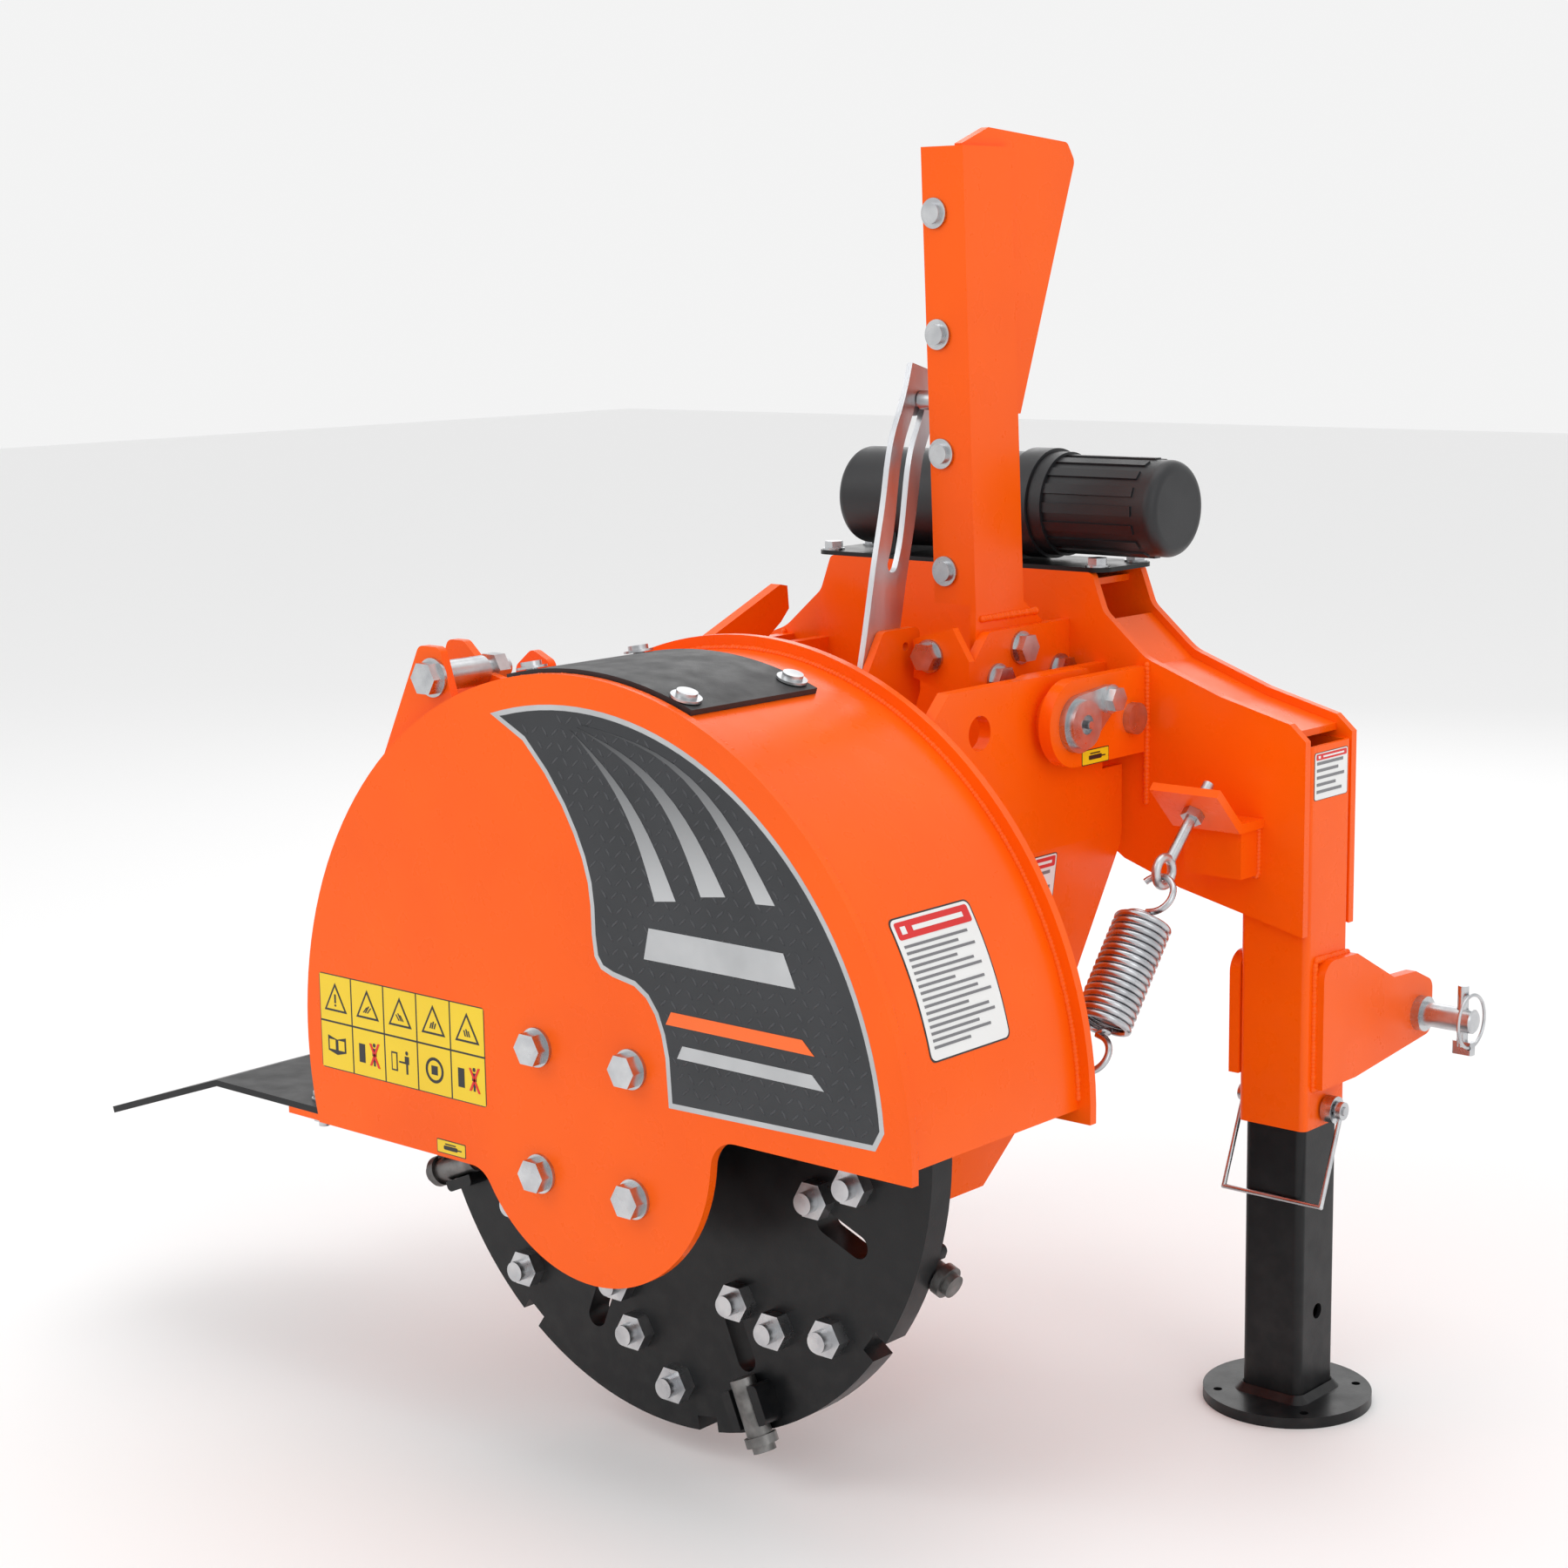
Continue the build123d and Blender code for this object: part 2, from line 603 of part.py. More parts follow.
tube_front = BRIDGE_REAR + PLATE
tube_rear = tube_front + TUBE
bridge_front = tube_rear + PLATE
leg_y = tube_front + TUBE / 2
leg_x = TUBE_OUTER_X - TUBE / 2
shoulder = [(165.0, 384.0), (210.0, 346.0), (288.0, 318.0), (358.0, 300.0)]
half_outline = [(CROWN_X - 8, CROWN_Z)] + shoulder + [
    (TUBE_OUTER_X, 286), (TUBE_OUTER_X, 116), (249, 144), (189, 164), (150, 190), (122, 230)]
outline_points = half_outline + [(-x, z) for x, z in reversed(half_outline)]

for name, y in (("bridge_rear_plate", tube_front), ("bridge_front_plate", bridge_front)):
    with BuildPart() as bridge_plate:
        with BuildSketch(across(y)) as outline:
            with BuildLine():
                Polyline(*outline_points, close=True)
            make_face()
            fillet([v for v in outline.vertices() if v.Y > 400], 6)
            fillet([v for v in outline.vertices() if 372 < v.Y < 390], 18)
            fillet([v for v in outline.vertices() if 340 < v.Y < 350], 40)
        extrude(amount=PLATE)
    save(bridge_plate, name)

roof_t = 6.0
roof_drop = 8.0
with BuildPart() as bridge_roof:
    with BuildSketch(across(tube_rear)) as roof:
        with Locations((0, CROWN_Z - roof_drop - roof_t / 2)):
            Rectangle(2 * CROWN_X - 40, roof_t)
        for side in SIDES.values():
            upper = [(side * x, z - roof_drop) for x, z in shoulder]
            lower = [(side * x, z - roof_drop - roof_t) for x, z in reversed(shoulder)]
            with BuildLine():
                Polyline(*upper, *lower, close=True)
            make_face()
    extrude(amount=TUBE)
save(bridge_roof, "bridge_roof")

tube_inner = TUBE - 2 * TUBE_WALL
leg_size = tube_inner - 2 * FIT
foot_top = GROUND_Z + FOOT_T
lock_hole = LOCK_R + FIT

# Lock pins, with a stub at each end for the wire bail
pin_tip = TUBE_OUTER_X - TUBE - 10
pin_head = TUBE_OUTER_X + 2
head_length = 10.0
stub_r = 4.0
stub_length = 9.0
with BuildPart() as lock_pins:
    for side in SIDES.values():
        lock_tip = Plane((side * pin_tip, leg_y, LOCK_Z), x_dir=(0, 1, 0), z_dir=(side, 0, 0))
        disc(lock_tip, LOCK_R, pin_head - pin_tip)
        disc(lock_tip.offset(pin_head - pin_tip), LOCK_R + 4, head_length)
        disc(lock_tip.offset(-stub_length), stub_r, pin_head - pin_tip + head_length + 2 * stub_length)
save(lock_pins, "lock_pins")

bail_wire = 2.2
eye_half = 2.7
bail_length = 86.0
bail_lean = asin((leg_size / 2 + bail_wire + 2 * FIT) / bail_length)
bail_out = pin_head + head_length + 4.5
bail_in = pin_tip - 4.5
bail_corners = [(x, leg_y - d * sin(bail_lean), LOCK_Z - d * cos(bail_lean))
                for x, d in ((bail_out, stub_r + 2.5), (bail_out, bail_length), (bail_in, bail_length),
                             (bail_in, stub_r + 2.5))]

pin_inner = TUBE_OUTER_X - TUBE - HITCH_T
pin_outer = TUBE_OUTER_X + HITCH_T + LINK_PIN_OUT
lynch_x = pin_outer - 12.0
lynch_r = 5.0
ring_r = 24.0
ring_wire = 1.6
ring_x = lynch_x + 8.5
with BuildPart() as lynch_pins:
    for side in SIDES.values():
        disc(Plane((side * lynch_x, LINK_PIN_Y, LINK_PIN_Z - ring_r)), lynch_r, 56)
        with BuildSketch(Plane.XY.offset(LINK_PIN_Z - ring_r - 7)) as head:
            with Locations((side * (lynch_x + 1.5), LINK_PIN_Y)):
                RectangleRounded(20, 8, 2)
        extrude(head.sketch, amount=12)
        disc(seat_at(across(LINK_PIN_Y + 20), side * ring_x, LINK_PIN_Z - ring_r), ring_wire + 0.5, 40,
             mode=Mode.SUBTRACT)
save(lynch_pins, "lynch_pins")

for side_name, side in SIDES.items():
    with BuildPart() as leg_tube:
        with BuildSketch(Plane.XY.offset(TUBE_BOTTOM)):
            with Locations((side * leg_x, leg_y)):
                RectangleRounded(TUBE, TUBE, 6)
                RectangleRounded(tube_inner, tube_inner, 3, mode=Mode.SUBTRACT)
        extrude(amount=TUBE_TOP - TUBE_BOTTOM)
        lock_plane = Plane((side * leg_x, leg_y, LOCK_Z), x_dir=(0, 1, 0), z_dir=(1, 0, 0))
        disc(lock_plane.offset(-TUBE), lock_hole, 2 * TUBE, mode=Mode.SUBTRACT)
    save(leg_tube, f"leg_tube_{side_name}")

    with BuildPart() as stand_leg:
        with BuildSketch(Plane.XY.offset(foot_top)):
            with Locations((side * leg_x, leg_y)):
                RectangleRounded(leg_size, leg_size, 7)
                RectangleRounded(leg_size - 2 * LEG_WALL, leg_size - 2 * LEG_WALL, 4, mode=Mode.SUBTRACT)
        extrude(amount=LEG_TOP - foot_top)
        with BuildSketch(Plane.XY.offset(foot_top)):
            with Locations((side * leg_x, leg_y)):
                RectangleRounded(leg_size + 14, leg_size + 14, 12)
                RectangleRounded(leg_size - 2 * LEG_WALL, leg_size - 2 * LEG_WALL, 4, mode=Mode.SUBTRACT)
        extrude(amount=7, taper=40)
        with BuildSketch(Plane.XY.offset(GROUND_Z)):
            with Locations((side * leg_x, leg_y)):
                Circle(FOOT_R)
                with PolarLocations(FOOT_R - 12, 4, start_angle=45):
                    Circle(4, mode=Mode.SUBTRACT)
        extrude(amount=FOOT_T)
        disc(lock_plane.offset(-TUBE), lock_hole, 2 * TUBE, mode=Mode.SUBTRACT)
        disc(seat_at(lock_plane.offset(-TUBE), 0, -188), 7, 2 * TUBE, mode=Mode.SUBTRACT)
    save(stand_leg, f"stand_leg_{side_name}")

    with BuildPart() as hitch_plates:
        for inner_x, points in (
                (TUBE_OUTER_X, [(tube_front + 12, -22), (tube_front + 12, 92), (tube_rear, 90), (239, 56),
                                (278, 54), (309, 40), (309, -8), (tube_rear, -22)]),
                (TUBE_OUTER_X - TUBE - HITCH_T, [(tube_front, -17), (tube_front, 92), (tube_rear, 90),
                                                 (239, 56), (278, 54), (309, 40), (309, -8), (tube_rear, -17)])):
            with BuildSketch(along(side * inner_x)) as plate:
                with BuildLine():
                    Polyline(*points, close=True)
                make_face()
                fillet([v for v in plate.vertices() if v.X > 300], 12)
                fillet([v for v in plate.vertices() if v.X < 120 and v.Y > 80], 18)
                with Locations((LINK_PIN_Y, LINK_PIN_Z)):
                    Circle(LINK_PIN_R + FIT, mode=Mode.SUBTRACT)
            extrude(plate.sketch, amount=side * HITCH_T)
    save(hitch_plates, f"hitch_plates_{side_name}")

    with BuildPart() as lower_link_pin:
        pin_plane = Plane((side * (pin_inner - 14), LINK_PIN_Y, LINK_PIN_Z), x_dir=(0, 1, 0), z_dir=(side, 0, 0))
        disc(pin_plane, LINK_PIN_R, pin_outer - pin_inner + 14)
        disc(pin_plane.offset(14), LINK_PIN_R + 8, -9)
        disc(pin_plane.offset(pin_outer - pin_inner + 14 - LINK_PIN_OUT), LINK_PIN_R + 5, 8)
        chamfer(lower_link_pin.faces().sort_by(Axis.X)[-1 if side > 0 else 0].edges(), 1.5)
        disc(Plane((side * lynch_x, LINK_PIN_Y, LINK_PIN_Z - 30)), lynch_r + FIT, 60, mode=Mode.SUBTRACT)
    save(lower_link_pin, f"lower_link_pin_{side_name}")

    with BuildPart() as lynch_ring:
        ring_plane = Plane((side * ring_x, LINK_PIN_Y, LINK_PIN_Z), x_dir=(0, 1, 0), z_dir=(1, 0, 0))
        with Locations(ring_plane):
            Torus(ring_r, ring_wire)
    save(lynch_ring, f"lynch_ring_{side_name}")

    # Wire bail, hung from a stub at each end of the lock pin
    with BuildPart() as bail:
        for start, end in zip(bail_corners, bail_corners[1:]):
            first, last = Vector(side * start[0], *start[1:]), Vector(side * end[0], *end[1:])
            disc(Plane(first, z_dir=last - first), bail_wire, (last - first).length)
        with Locations(*[(side * x, y, z) for x, y, z in bail_corners[1:-1]]):
            Sphere(bail_wire + 0.15)
        for eye_x in (bail_out, bail_in):
            eye_plane = Plane((side * eye_x, leg_y, LOCK_Z), x_dir=(0, 1, 0), z_dir=(1, 0, 0)).offset(-eye_half)
            disc(eye_plane, stub_r + 4, 2 * eye_half)
            disc(eye_plane, stub_r + RUN, 2 * eye_half, mode=Mode.SUBTRACT)
    save(bail, f"bail_{side_name}")

# ---------------------------------------------------------------- pivots

bracket_in = ARM_X - BRACKET_GAP - BRACKET_T
bracket_out = ARM_X + ARM_T + BRACKET_GAP
keeper_bolt = (34.0, 318.0)
keeper_bolt_r = 6.0
for side_name, side in SIDES.items():
    with BuildPart() as pivot_bracket:
        for plate_x in (bracket_in, bracket_out):
            with BuildSketch(along(side * plate_x)) as plate:
                with Locations((PIVOT_Y, PIVOT_Z)):
                    Circle(BRACKET_R)
                with Locations(((PIVOT_Y + BRIDGE_REAR) / 2, PIVOT_Z)):
                    Rectangle(BRIDGE_REAR - PIVOT_Y, 2 * BRACKET_R)
                with Locations((PIVOT_Y, PIVOT_Z)):
                    Circle(PIVOT_R + FIT, mode=Mode.SUBTRACT)
                with Locations((STOP_Y, STOP_Z)):
                    Circle(STOP_R + FIT, mode=Mode.SUBTRACT)
                if plate_x == bracket_out:
                    with Locations(keeper_bolt):
                        Circle(keeper_bolt_r + SHANK, mode=Mode.SUBTRACT)
            extrude(plate.sketch, amount=side * BRACKET_T)
    save(pivot_bracket, f"pivot_bracket_{side_name}")


bracket_face = bracket_out + BRACKET_T
inner_end = bracket_in - 6
with BuildPart() as pivot_pins:
    for side in SIDES.values():
        pivot_plane = Plane((side * inner_end, PIVOT_Y, PIVOT_Z), x_dir=(0, 1, 0), z_dir=(side, 0, 0))
        keeper_face = bracket_face + KEEPER_T - inner_end
        disc(pivot_plane, PIVOT_R, keeper_face)
        disc(pivot_plane.offset(keeper_face), PIVOT_R + 6, 6)
        disc(pivot_plane.offset(keeper_face + 6), 8.5, -5, mode=Mode.SUBTRACT)
        disc(pivot_plane.offset(keeper_face + 1), 3.5, 9)
save(pivot_pins, "pivot_pins")

with BuildPart() as stop_pins:
    for side in SIDES.values():
        stop_plane = Plane((side * inner_end, STOP_Y, STOP_Z), x_dir=(0, 1, 0), z_dir=(side, 0, 0))
        disc(stop_plane, STOP_R, bracket_face - inner_end)
        disc(stop_plane.offset(bracket_face - inner_end), STOP_R + 4, 7)
save(stop_pins, "stop_pins")

with BuildPart() as keeper_plates:
    for side in SIDES.values():
        with BuildSketch(along(side * bracket_face)) as keeper:
            with Locations((PIVOT_Y, PIVOT_Z)):
                Circle(PIVOT_R + 10)
            with Locations(keeper_bolt):
                Circle(12)
            make_hull()
            with Locations((PIVOT_Y, PIVOT_Z)):
                Circle(PIVOT_R + FIT, mode=Mode.SUBTRACT)
            with Locations(keeper_bolt):
                Circle(keeper_bolt_r + SHANK, mode=Mode.SUBTRACT)
        extrude(keeper.sketch, amount=side * KEEPER_T)
save(keeper_plates, "keeper_plates")

# ---------------------------------------------------------------- mast


def mast_front(z):
    """Front face of the leaning mast at a height."""
    return -26.0 - MAST_LEAN * (z - 392.0) / (MAST_TOP - 392.0)


mast_side = [(mast_front(MAST_TOP), MAST_TOP), (25, MAST_TOP), (43, 396), (71, 376), (90, 336), (90, 305),
             (-28, 305), (mast_front(392.0), 392)]
mast_inside = MAST_X - MAST_T
mast_left = MAST_X - MAST_W
web_bottom = 398.0
button_z = [732.5, 630.5, 528.5, 426.5]
button_r = 5.0
button_x = mast_left + 13.0
lug_bolts = [(25.0, 357.0), (-9.0, 332.0), (83.0, 331.0)]
lug_bolt_r = 7.0
with BuildPart() as mast:
    with BuildSketch(along(mast_left)) as profile:
        with BuildLine():
            Polyline(*mast_side, close=True)
        make_face()
        fillet([v for v in profile.vertices() if v.Y < 310], 8)
        with Locations(lug_bolts):
            Circle(lug_bolt_r + SHANK, mode=Mode.SUBTRACT)
    extrude(profile.sketch, amount=MAST_W)
    with BuildSketch(along(mast_left)) as core:
        with BuildLine():
            Polyline((mast_front(MAST_TOP + 20) + MAST_T, MAST_TOP + 20), (200, MAST_TOP + 20), (200, web_bottom),
                     (mast_front(web_bottom) + MAST_T, web_bottom), close=True)
        make_face()
        with Locations((0, web_bottom - 100)):
            Rectangle(400, 200)
    extrude(core.sketch, amount=MAST_W - MAST_T, mode=Mode.SUBTRACT)
    for z in button_z:
        disc(seat_at(across(mast_front(z) + 8), button_x, z), button_r + SHANK, 20, mode=Mode.SUBTRACT)
save(mast, "mast")

wing_t = 8.0
with BuildPart() as mast_wing:
    with BuildSketch(along(mast_inside - wing_t)) as wing:
        with BuildLine():
            Polyline((-33, 560), (47, 560), (127, 778), (116, 794), (2, 804), (mast_front(790) + 7, 790), close=True)
        make_face()
        fillet([v for v in wing.vertices() if v.X > 110], 8)
        with BuildLine():
            Polyline((-60, 550), (mast_front(550.0) + MAST_T, 550), (mast_front(810.0) + MAST_T, 810), (-60, 810),
                     close=True)
        make_face(mode=Mode.SUBTRACT)
    extrude(wing.sketch, amount=wing_t)
save(mast_wing, "mast_wing")

bar_from, bar_to = 400.0, 760.0
bar_left = mast_left + 4
link_bolt = (LINK_BOLT_Y, LINK_BOLT_Z)
with BuildPart() as guide_bar:
    with BuildSketch(along(bar_left)) as bar:
        with BuildLine():
            back_low, back_high = mast_front(bar_from) + MAST_T, mast_front(bar_to) + MAST_T
            Polyline((back_low, bar_from), (back_low + BAR_W, bar_from), (back_high + BAR_W, bar_to),
                     (back_high, bar_to), close=True)
        make_face()
        with Locations(link_bolt):
            Circle(LINK_BOLT_R + SHANK, mode=Mode.SUBTRACT)
    extrude(bar.sketch, amount=BAR_W)
    for z in button_z:
        disc(seat_at(across(mast_front(z) + 40), button_x, z), button_r + SHANK, 60, mode=Mode.SUBTRACT)
save(guide_bar, "guide_bar")

with BuildPart() as mast_bolts:
    for z in button_z:
        button_bolt(seat_at(across(mast_front(z + 13)), button_x, z), button_r, MAST_T + BAR_W + 10)
        nut_face = mast_front(z) + MAST_T + BAR_W + 0.6
        hexagon(seat_at(across(nut_face), button_x, z), 16, -7)

with BuildPart() as link_bolt_group:
    bolt_head = Plane((LINK_X - 1, LINK_BOLT_Y, LINK_BOLT_Z), x_dir=(0, 1, 0), z_dir=(-1, 0, 0))
    sleeve_from = LINK_X + LINK_T + 1
    disc(bolt_head, 14, 2)
    hexagon(bolt_head.offset(2), 18, 8)
    disc(bolt_head, LINK_BOLT_R, -(bar_left + BAR_W + 8 - LINK_X + 1))
    disc(Plane((sleeve_from, LINK_BOLT_Y, LINK_BOLT_Z), x_dir=(0, 1, 0), z_dir=(1, 0, 0)), 8.5, bar_left - sleeve_from)
    hexagon(Plane((bar_left + BAR_W, LINK_BOLT_Y, LINK_BOLT_Z), x_dir=(0, 1, 0), z_dir=(1, 0, 0)), 15, 7)

tab_y = -41.0
tab_t = 8.0
stop_bolt = (mast_left + 12, 354.0)
with BuildPart() as mast_lug:
    with BuildSketch(along(MAST_X)) as lug:
        with BuildLine():
            Polyline((BRIDGE_REAR, LUG_TOP), (-20, LUG_TOP), (tab_y, 352), (tab_y, 302), (BRIDGE_REAR, 302), close=True)
        make_face()
        fillet([v for v in lug.vertices() if v.X < 0 and v.Y > 310], 8)
        with Locations(lug_bolts):
            Circle(lug_bolt_r + SHANK, mode=Mode.SUBTRACT)
    extrude(lug.sketch, amount=LUG_T)
    with BuildSketch(across(tab_y)) as tab:
        with BuildLine():
            Polyline((mast_left - 6, 334), (MAST_X + LUG_T, 316), (MAST_X + LUG_T, 352), (MAST_X - 8, 380),
                     (mast_left - 6, 368), close=True)
        make_face()
        with Locations(stop_bolt):
            Circle(lug_bolt_r + SHANK, mode=Mode.SUBTRACT)
    extrude(tab.sketch, amount=tab_t)
save(mast_lug, "mast_lug")

# ---------------------------------------------------------------- canister

bracket_half_y = 34.0
saddle_top = CAN_Z - 26
can_bolts = [(x, y) for x in (-158.0, 150.0) for y in (tube_front + 4, tube_rear - 4)]
with BuildPart() as canister_bracket:
    with BuildSketch(Plane.XY.offset(CROWN_Z)):
        with Locations((-4, leg_y)):
            RectangleRounded(336, TUBE + 2 * PLATE, 14)
        with Locations(can_bolts):
            Circle(small_bolt_r + SHANK, mode=Mode.SUBTRACT)
    extrude(amount=CAN_PLATE_T)
    for x in (-90.0, 40.0):
        with BuildSketch(Plane.XY.offset(CROWN_Z + CAN_PLATE_T)):
            with Locations((x, CAN_Y)):
                Rectangle(24, 2 * bracket_half_y)
        extrude(amount=saddle_top - CROWN_Z - CAN_PLATE_T)
    disc(Plane((-200, CAN_Y, CAN_Z), x_dir=(0, 1, 0), z_dir=(1, 0, 0)), CAN_R + FIT, 400, mode=Mode.SUBTRACT)
save(canister_bracket, "canister_bracket")

mouth_r = CAN_R - CAN_WALL
can_axis = Plane((CAN_LEFT, CAN_Y, CAN_Z), x_dir=(0, 1, 0), z_dir=(1, 0, 0))
collar_l = 24.0
with BuildPart() as canister_body:
    disc(can_axis, CAN_R, CAN_SPLIT - CAN_LEFT)
    fillet(canister_body.faces().sort_by(Axis.X)[0].edges(), 8)
    disc(can_axis.offset(CAN_SPLIT - CAN_LEFT - collar_l), CAN_R + 4, collar_l)
    disc(can_axis.offset(CAN_WALL), mouth_r, CAN_SPLIT - CAN_LEFT, mode=Mode.SUBTRACT)
save(canister_body, "canister_body")

lid_r = 43.0
lid_start = CAN_SPLIT + FIT
spigot = 16.0
with BuildPart() as canister_lid:
    disc(can_axis.offset(lid_start - CAN_LEFT), lid_r + 4, 14)
    disc(can_axis.offset(lid_start - CAN_LEFT), lid_r, CAN_RIGHT - lid_start)
    fillet(canister_lid.faces().sort_by(Axis.X)[-1].edges(), 10)
    with BuildSketch(can_axis.offset(lid_start - CAN_LEFT + 14)) as ribs:
        with PolarLocations(lid_r, 16):
            Rectangle(3, 9)
    extrude(ribs.sketch, amount=CAN_RIGHT - lid_start - 36)
    disc(can_axis.offset(lid_start - CAN_LEFT - spigot), mouth_r - 0.08, spigot)
    disc(can_axis.offset(lid_start - CAN_LEFT - spigot), mouth_r - 4, CAN_RIGHT - lid_start + spigot - CAN_WALL,
         mode=Mode.SUBTRACT)
save(canister_lid, "canister_lid")

# ---------------------------------------------------------------- springs

box_w, box_h, box_d = 58.0, 42.0, 28.0
shelf_w = 68.0
shelf_t = 8.0
shelf_z = 208.0
lip_run = 38.0
lip_length = 52.0
eye_dir = (-sin(radians(45)), -cos(radians(45)))
lip_y = BRIDGE_REAR - lip_run
lip_mid = (lip_y - 0.5 * lip_length * cos(radians(45)), shelf_z + 0.5 * lip_length * sin(radians(45)))
eye_span = hypot(EYE_Y - lip_mid[0], EYE_Z - lip_mid[1])
eye_tilt = ((EYE_Y - lip_mid[0]) / eye_span, (EYE_Z - lip_mid[1]) / eye_span)
spring_tilt = hypot(TAB_Y - EYE_Y, TAB_Z - EYE_Z)
spring_dir = ((TAB_Y - EYE_Y) / spring_tilt, (TAB_Z - EYE_Z) / spring_tilt)
body_start = (spring_tilt - SPRING_BODY) / 2
for side_name, side in SIDES.items():
    with BuildPart() as spring_bracket:
        with BuildSketch(along(side * SPRING_X)) as profile:
            with BuildLine():
                Polyline((BRIDGE_REAR, shelf_z), (lip_y, shelf_z),
                         (lip_y - lip_length * cos(radians(45)), shelf_z + lip_length * sin(radians(45))),
                         (lip_y - lip_length * cos(radians(45)) + shelf_t * 0.71,
                          shelf_z + lip_length * sin(radians(45)) + shelf_t * 0.71),
                         (lip_y + 0.41 * shelf_t, shelf_z + shelf_t), (BRIDGE_REAR, shelf_z + shelf_t), close=True)
            make_face()
        extrude(profile.sketch, amount=shelf_w / 2, both=True)
        with BuildSketch(along(side * SPRING_X)) as post:
            with Locations((BRIDGE_REAR - box_d / 2, shelf_z - box_h / 2)):
                Rectangle(box_d, box_h)
        extrude(post.sketch, amount=box_w / 2, both=True)
        eye_plane = Plane((side * SPRING_X, *lip_mid), z_dir=(0, *eye_tilt))
        disc(eye_plane.offset(-30), 5 + SHANK, 60, mode=Mode.SUBTRACT)
    save(spring_bracket, f"spring_bracket_{side_name}")

    with BuildPart() as spring:
        coil_plane = Plane((side * SPRING_X, EYE_Y + spring_dir[0] * body_start, EYE_Z + spring_dir[1] * body_start),
                           x_dir=(1, 0, 0), z_dir=(0, *spring_dir))
        disc(coil_plane, SPRING_R + SPRING_WIRE / 2, SPRING_BODY)
        disc(coil_plane.offset(SPRING_WIRE), SPRING_R - SPRING_WIRE / 2, SPRING_BODY - 2 * SPRING_WIRE,
             mode=Mode.SUBTRACT)
        across_hook = (spring_dir[1], -spring_dir[0])
        top_seat = EYE_R - EYE_WIRE / 2 - SPRING_WIRE / 2 - FIT
        foot_seat = LUG_HOLE_R - SPRING_WIRE / 2 - FIT
        for hook_centre in (top_seat + HOOK_R - body_start, SPRING_BODY + body_start - foot_seat - HOOK_R):
            centre = coil_plane.offset(hook_centre)
            with Locations(Plane(centre.origin, x_dir=(1, 0, 0), z_dir=(0, *across_hook))):
                Torus(HOOK_R, SPRING_WIRE / 2)
        neck = body_start - 2 * HOOK_R
        disc(coil_plane.offset(-neck), SPRING_WIRE / 2, neck + 1)
        disc(coil_plane.offset(SPRING_BODY - 1), SPRING_WIRE / 2, neck + 1)
    save(spring, f"spring_{side_name}")

with BuildPart() as eye_bolts:
    for side in SIDES.values():
        eye_plane = Plane((side * SPRING_X, *lip_mid), z_dir=(0, *eye_tilt))
        disc(eye_plane.offset(-30), 5, eye_span + 30 - EYE_R)
        hexagon(eye_plane.offset(0.2), 17, 8)
        hexagon(eye_plane.offset(-shelf_t - 0.5), 17, -8)
        with Locations(Plane((side * SPRING_X, EYE_Y, EYE_Z), x_dir=(0, *eye_tilt), z_dir=(1, 0, 0))):
            Torus(EYE_R, EYE_WIRE / 2)
save(eye_bolts, "eye_bolts")

with BuildPart() as frame_bolts:
    add(mast_bolts.part)
    add(link_bolt_group.part)
    for y, z in lug_bolts:
        hex_bolt(Plane((MAST_X + LUG_T, y, z), x_dir=(0, 1, 0), z_dir=(1, 0, 0)), lug_bolt_r, LUG_T + MAST_T)
    hex_bolt(seat_at(across(tab_y - tab_t), stop_bolt[0], stop_bolt[1]), lug_bolt_r, tab_t)
    for side in SIDES.values():
        hex_bolt(Plane((side * (bracket_face + KEEPER_T), *keeper_bolt), x_dir=(0, 1, 0), z_dir=(side, 0, 0)),
                 keeper_bolt_r, BRACKET_T + KEEPER_T, nut=False)
    for x, y in can_bolts:
        hex_bolt(Plane((x, y, CROWN_Z + CAN_PLATE_T), x_dir=(1, 0, 0)), small_bolt_r, 3.0, nut=False)
save(frame_bolts, "frame_bolts")

# ---------------------------------------------------------------- top link ears

with BuildPart() as top_link_ears:
    for side in SIDES.values():
        with BuildSketch(along(side * (EAR_X + EAR_T / 2))) as ear:
            with Locations((TOP_PIN_Y, TOP_PIN_Z)):
                Circle(22)
            with Locations((bridge_front, TOP_PIN_Z - 40)):
                Circle(30)
            make_hull()
            with Locations((bridge_front - 50, TOP_PIN_Z)):
                Rectangle(100, 300, mode=Mode.SUBTRACT)
            with Locations((TOP_PIN_Y, TOP_PIN_Z)):
                Circle(TOP_PIN_R, mode=Mode.SUBTRACT)
        extrude(ear.sketch, amount=EAR_T / 2, both=True)
save(top_link_ears, "top_link_ears")
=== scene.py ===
"""Studio scene of a tractor-mounted stump grinder: finishes, springs, welds, printed labels, camera and light."""
from __future__ import annotations

import json
import logging
import math
import sys
from dataclasses import dataclass, field
from enum import Enum
from typing import Callable, Sequence

import bmesh
import bpy
from mathutils import Matrix, Vector
from mathutils.geometry import tessellate_polygon

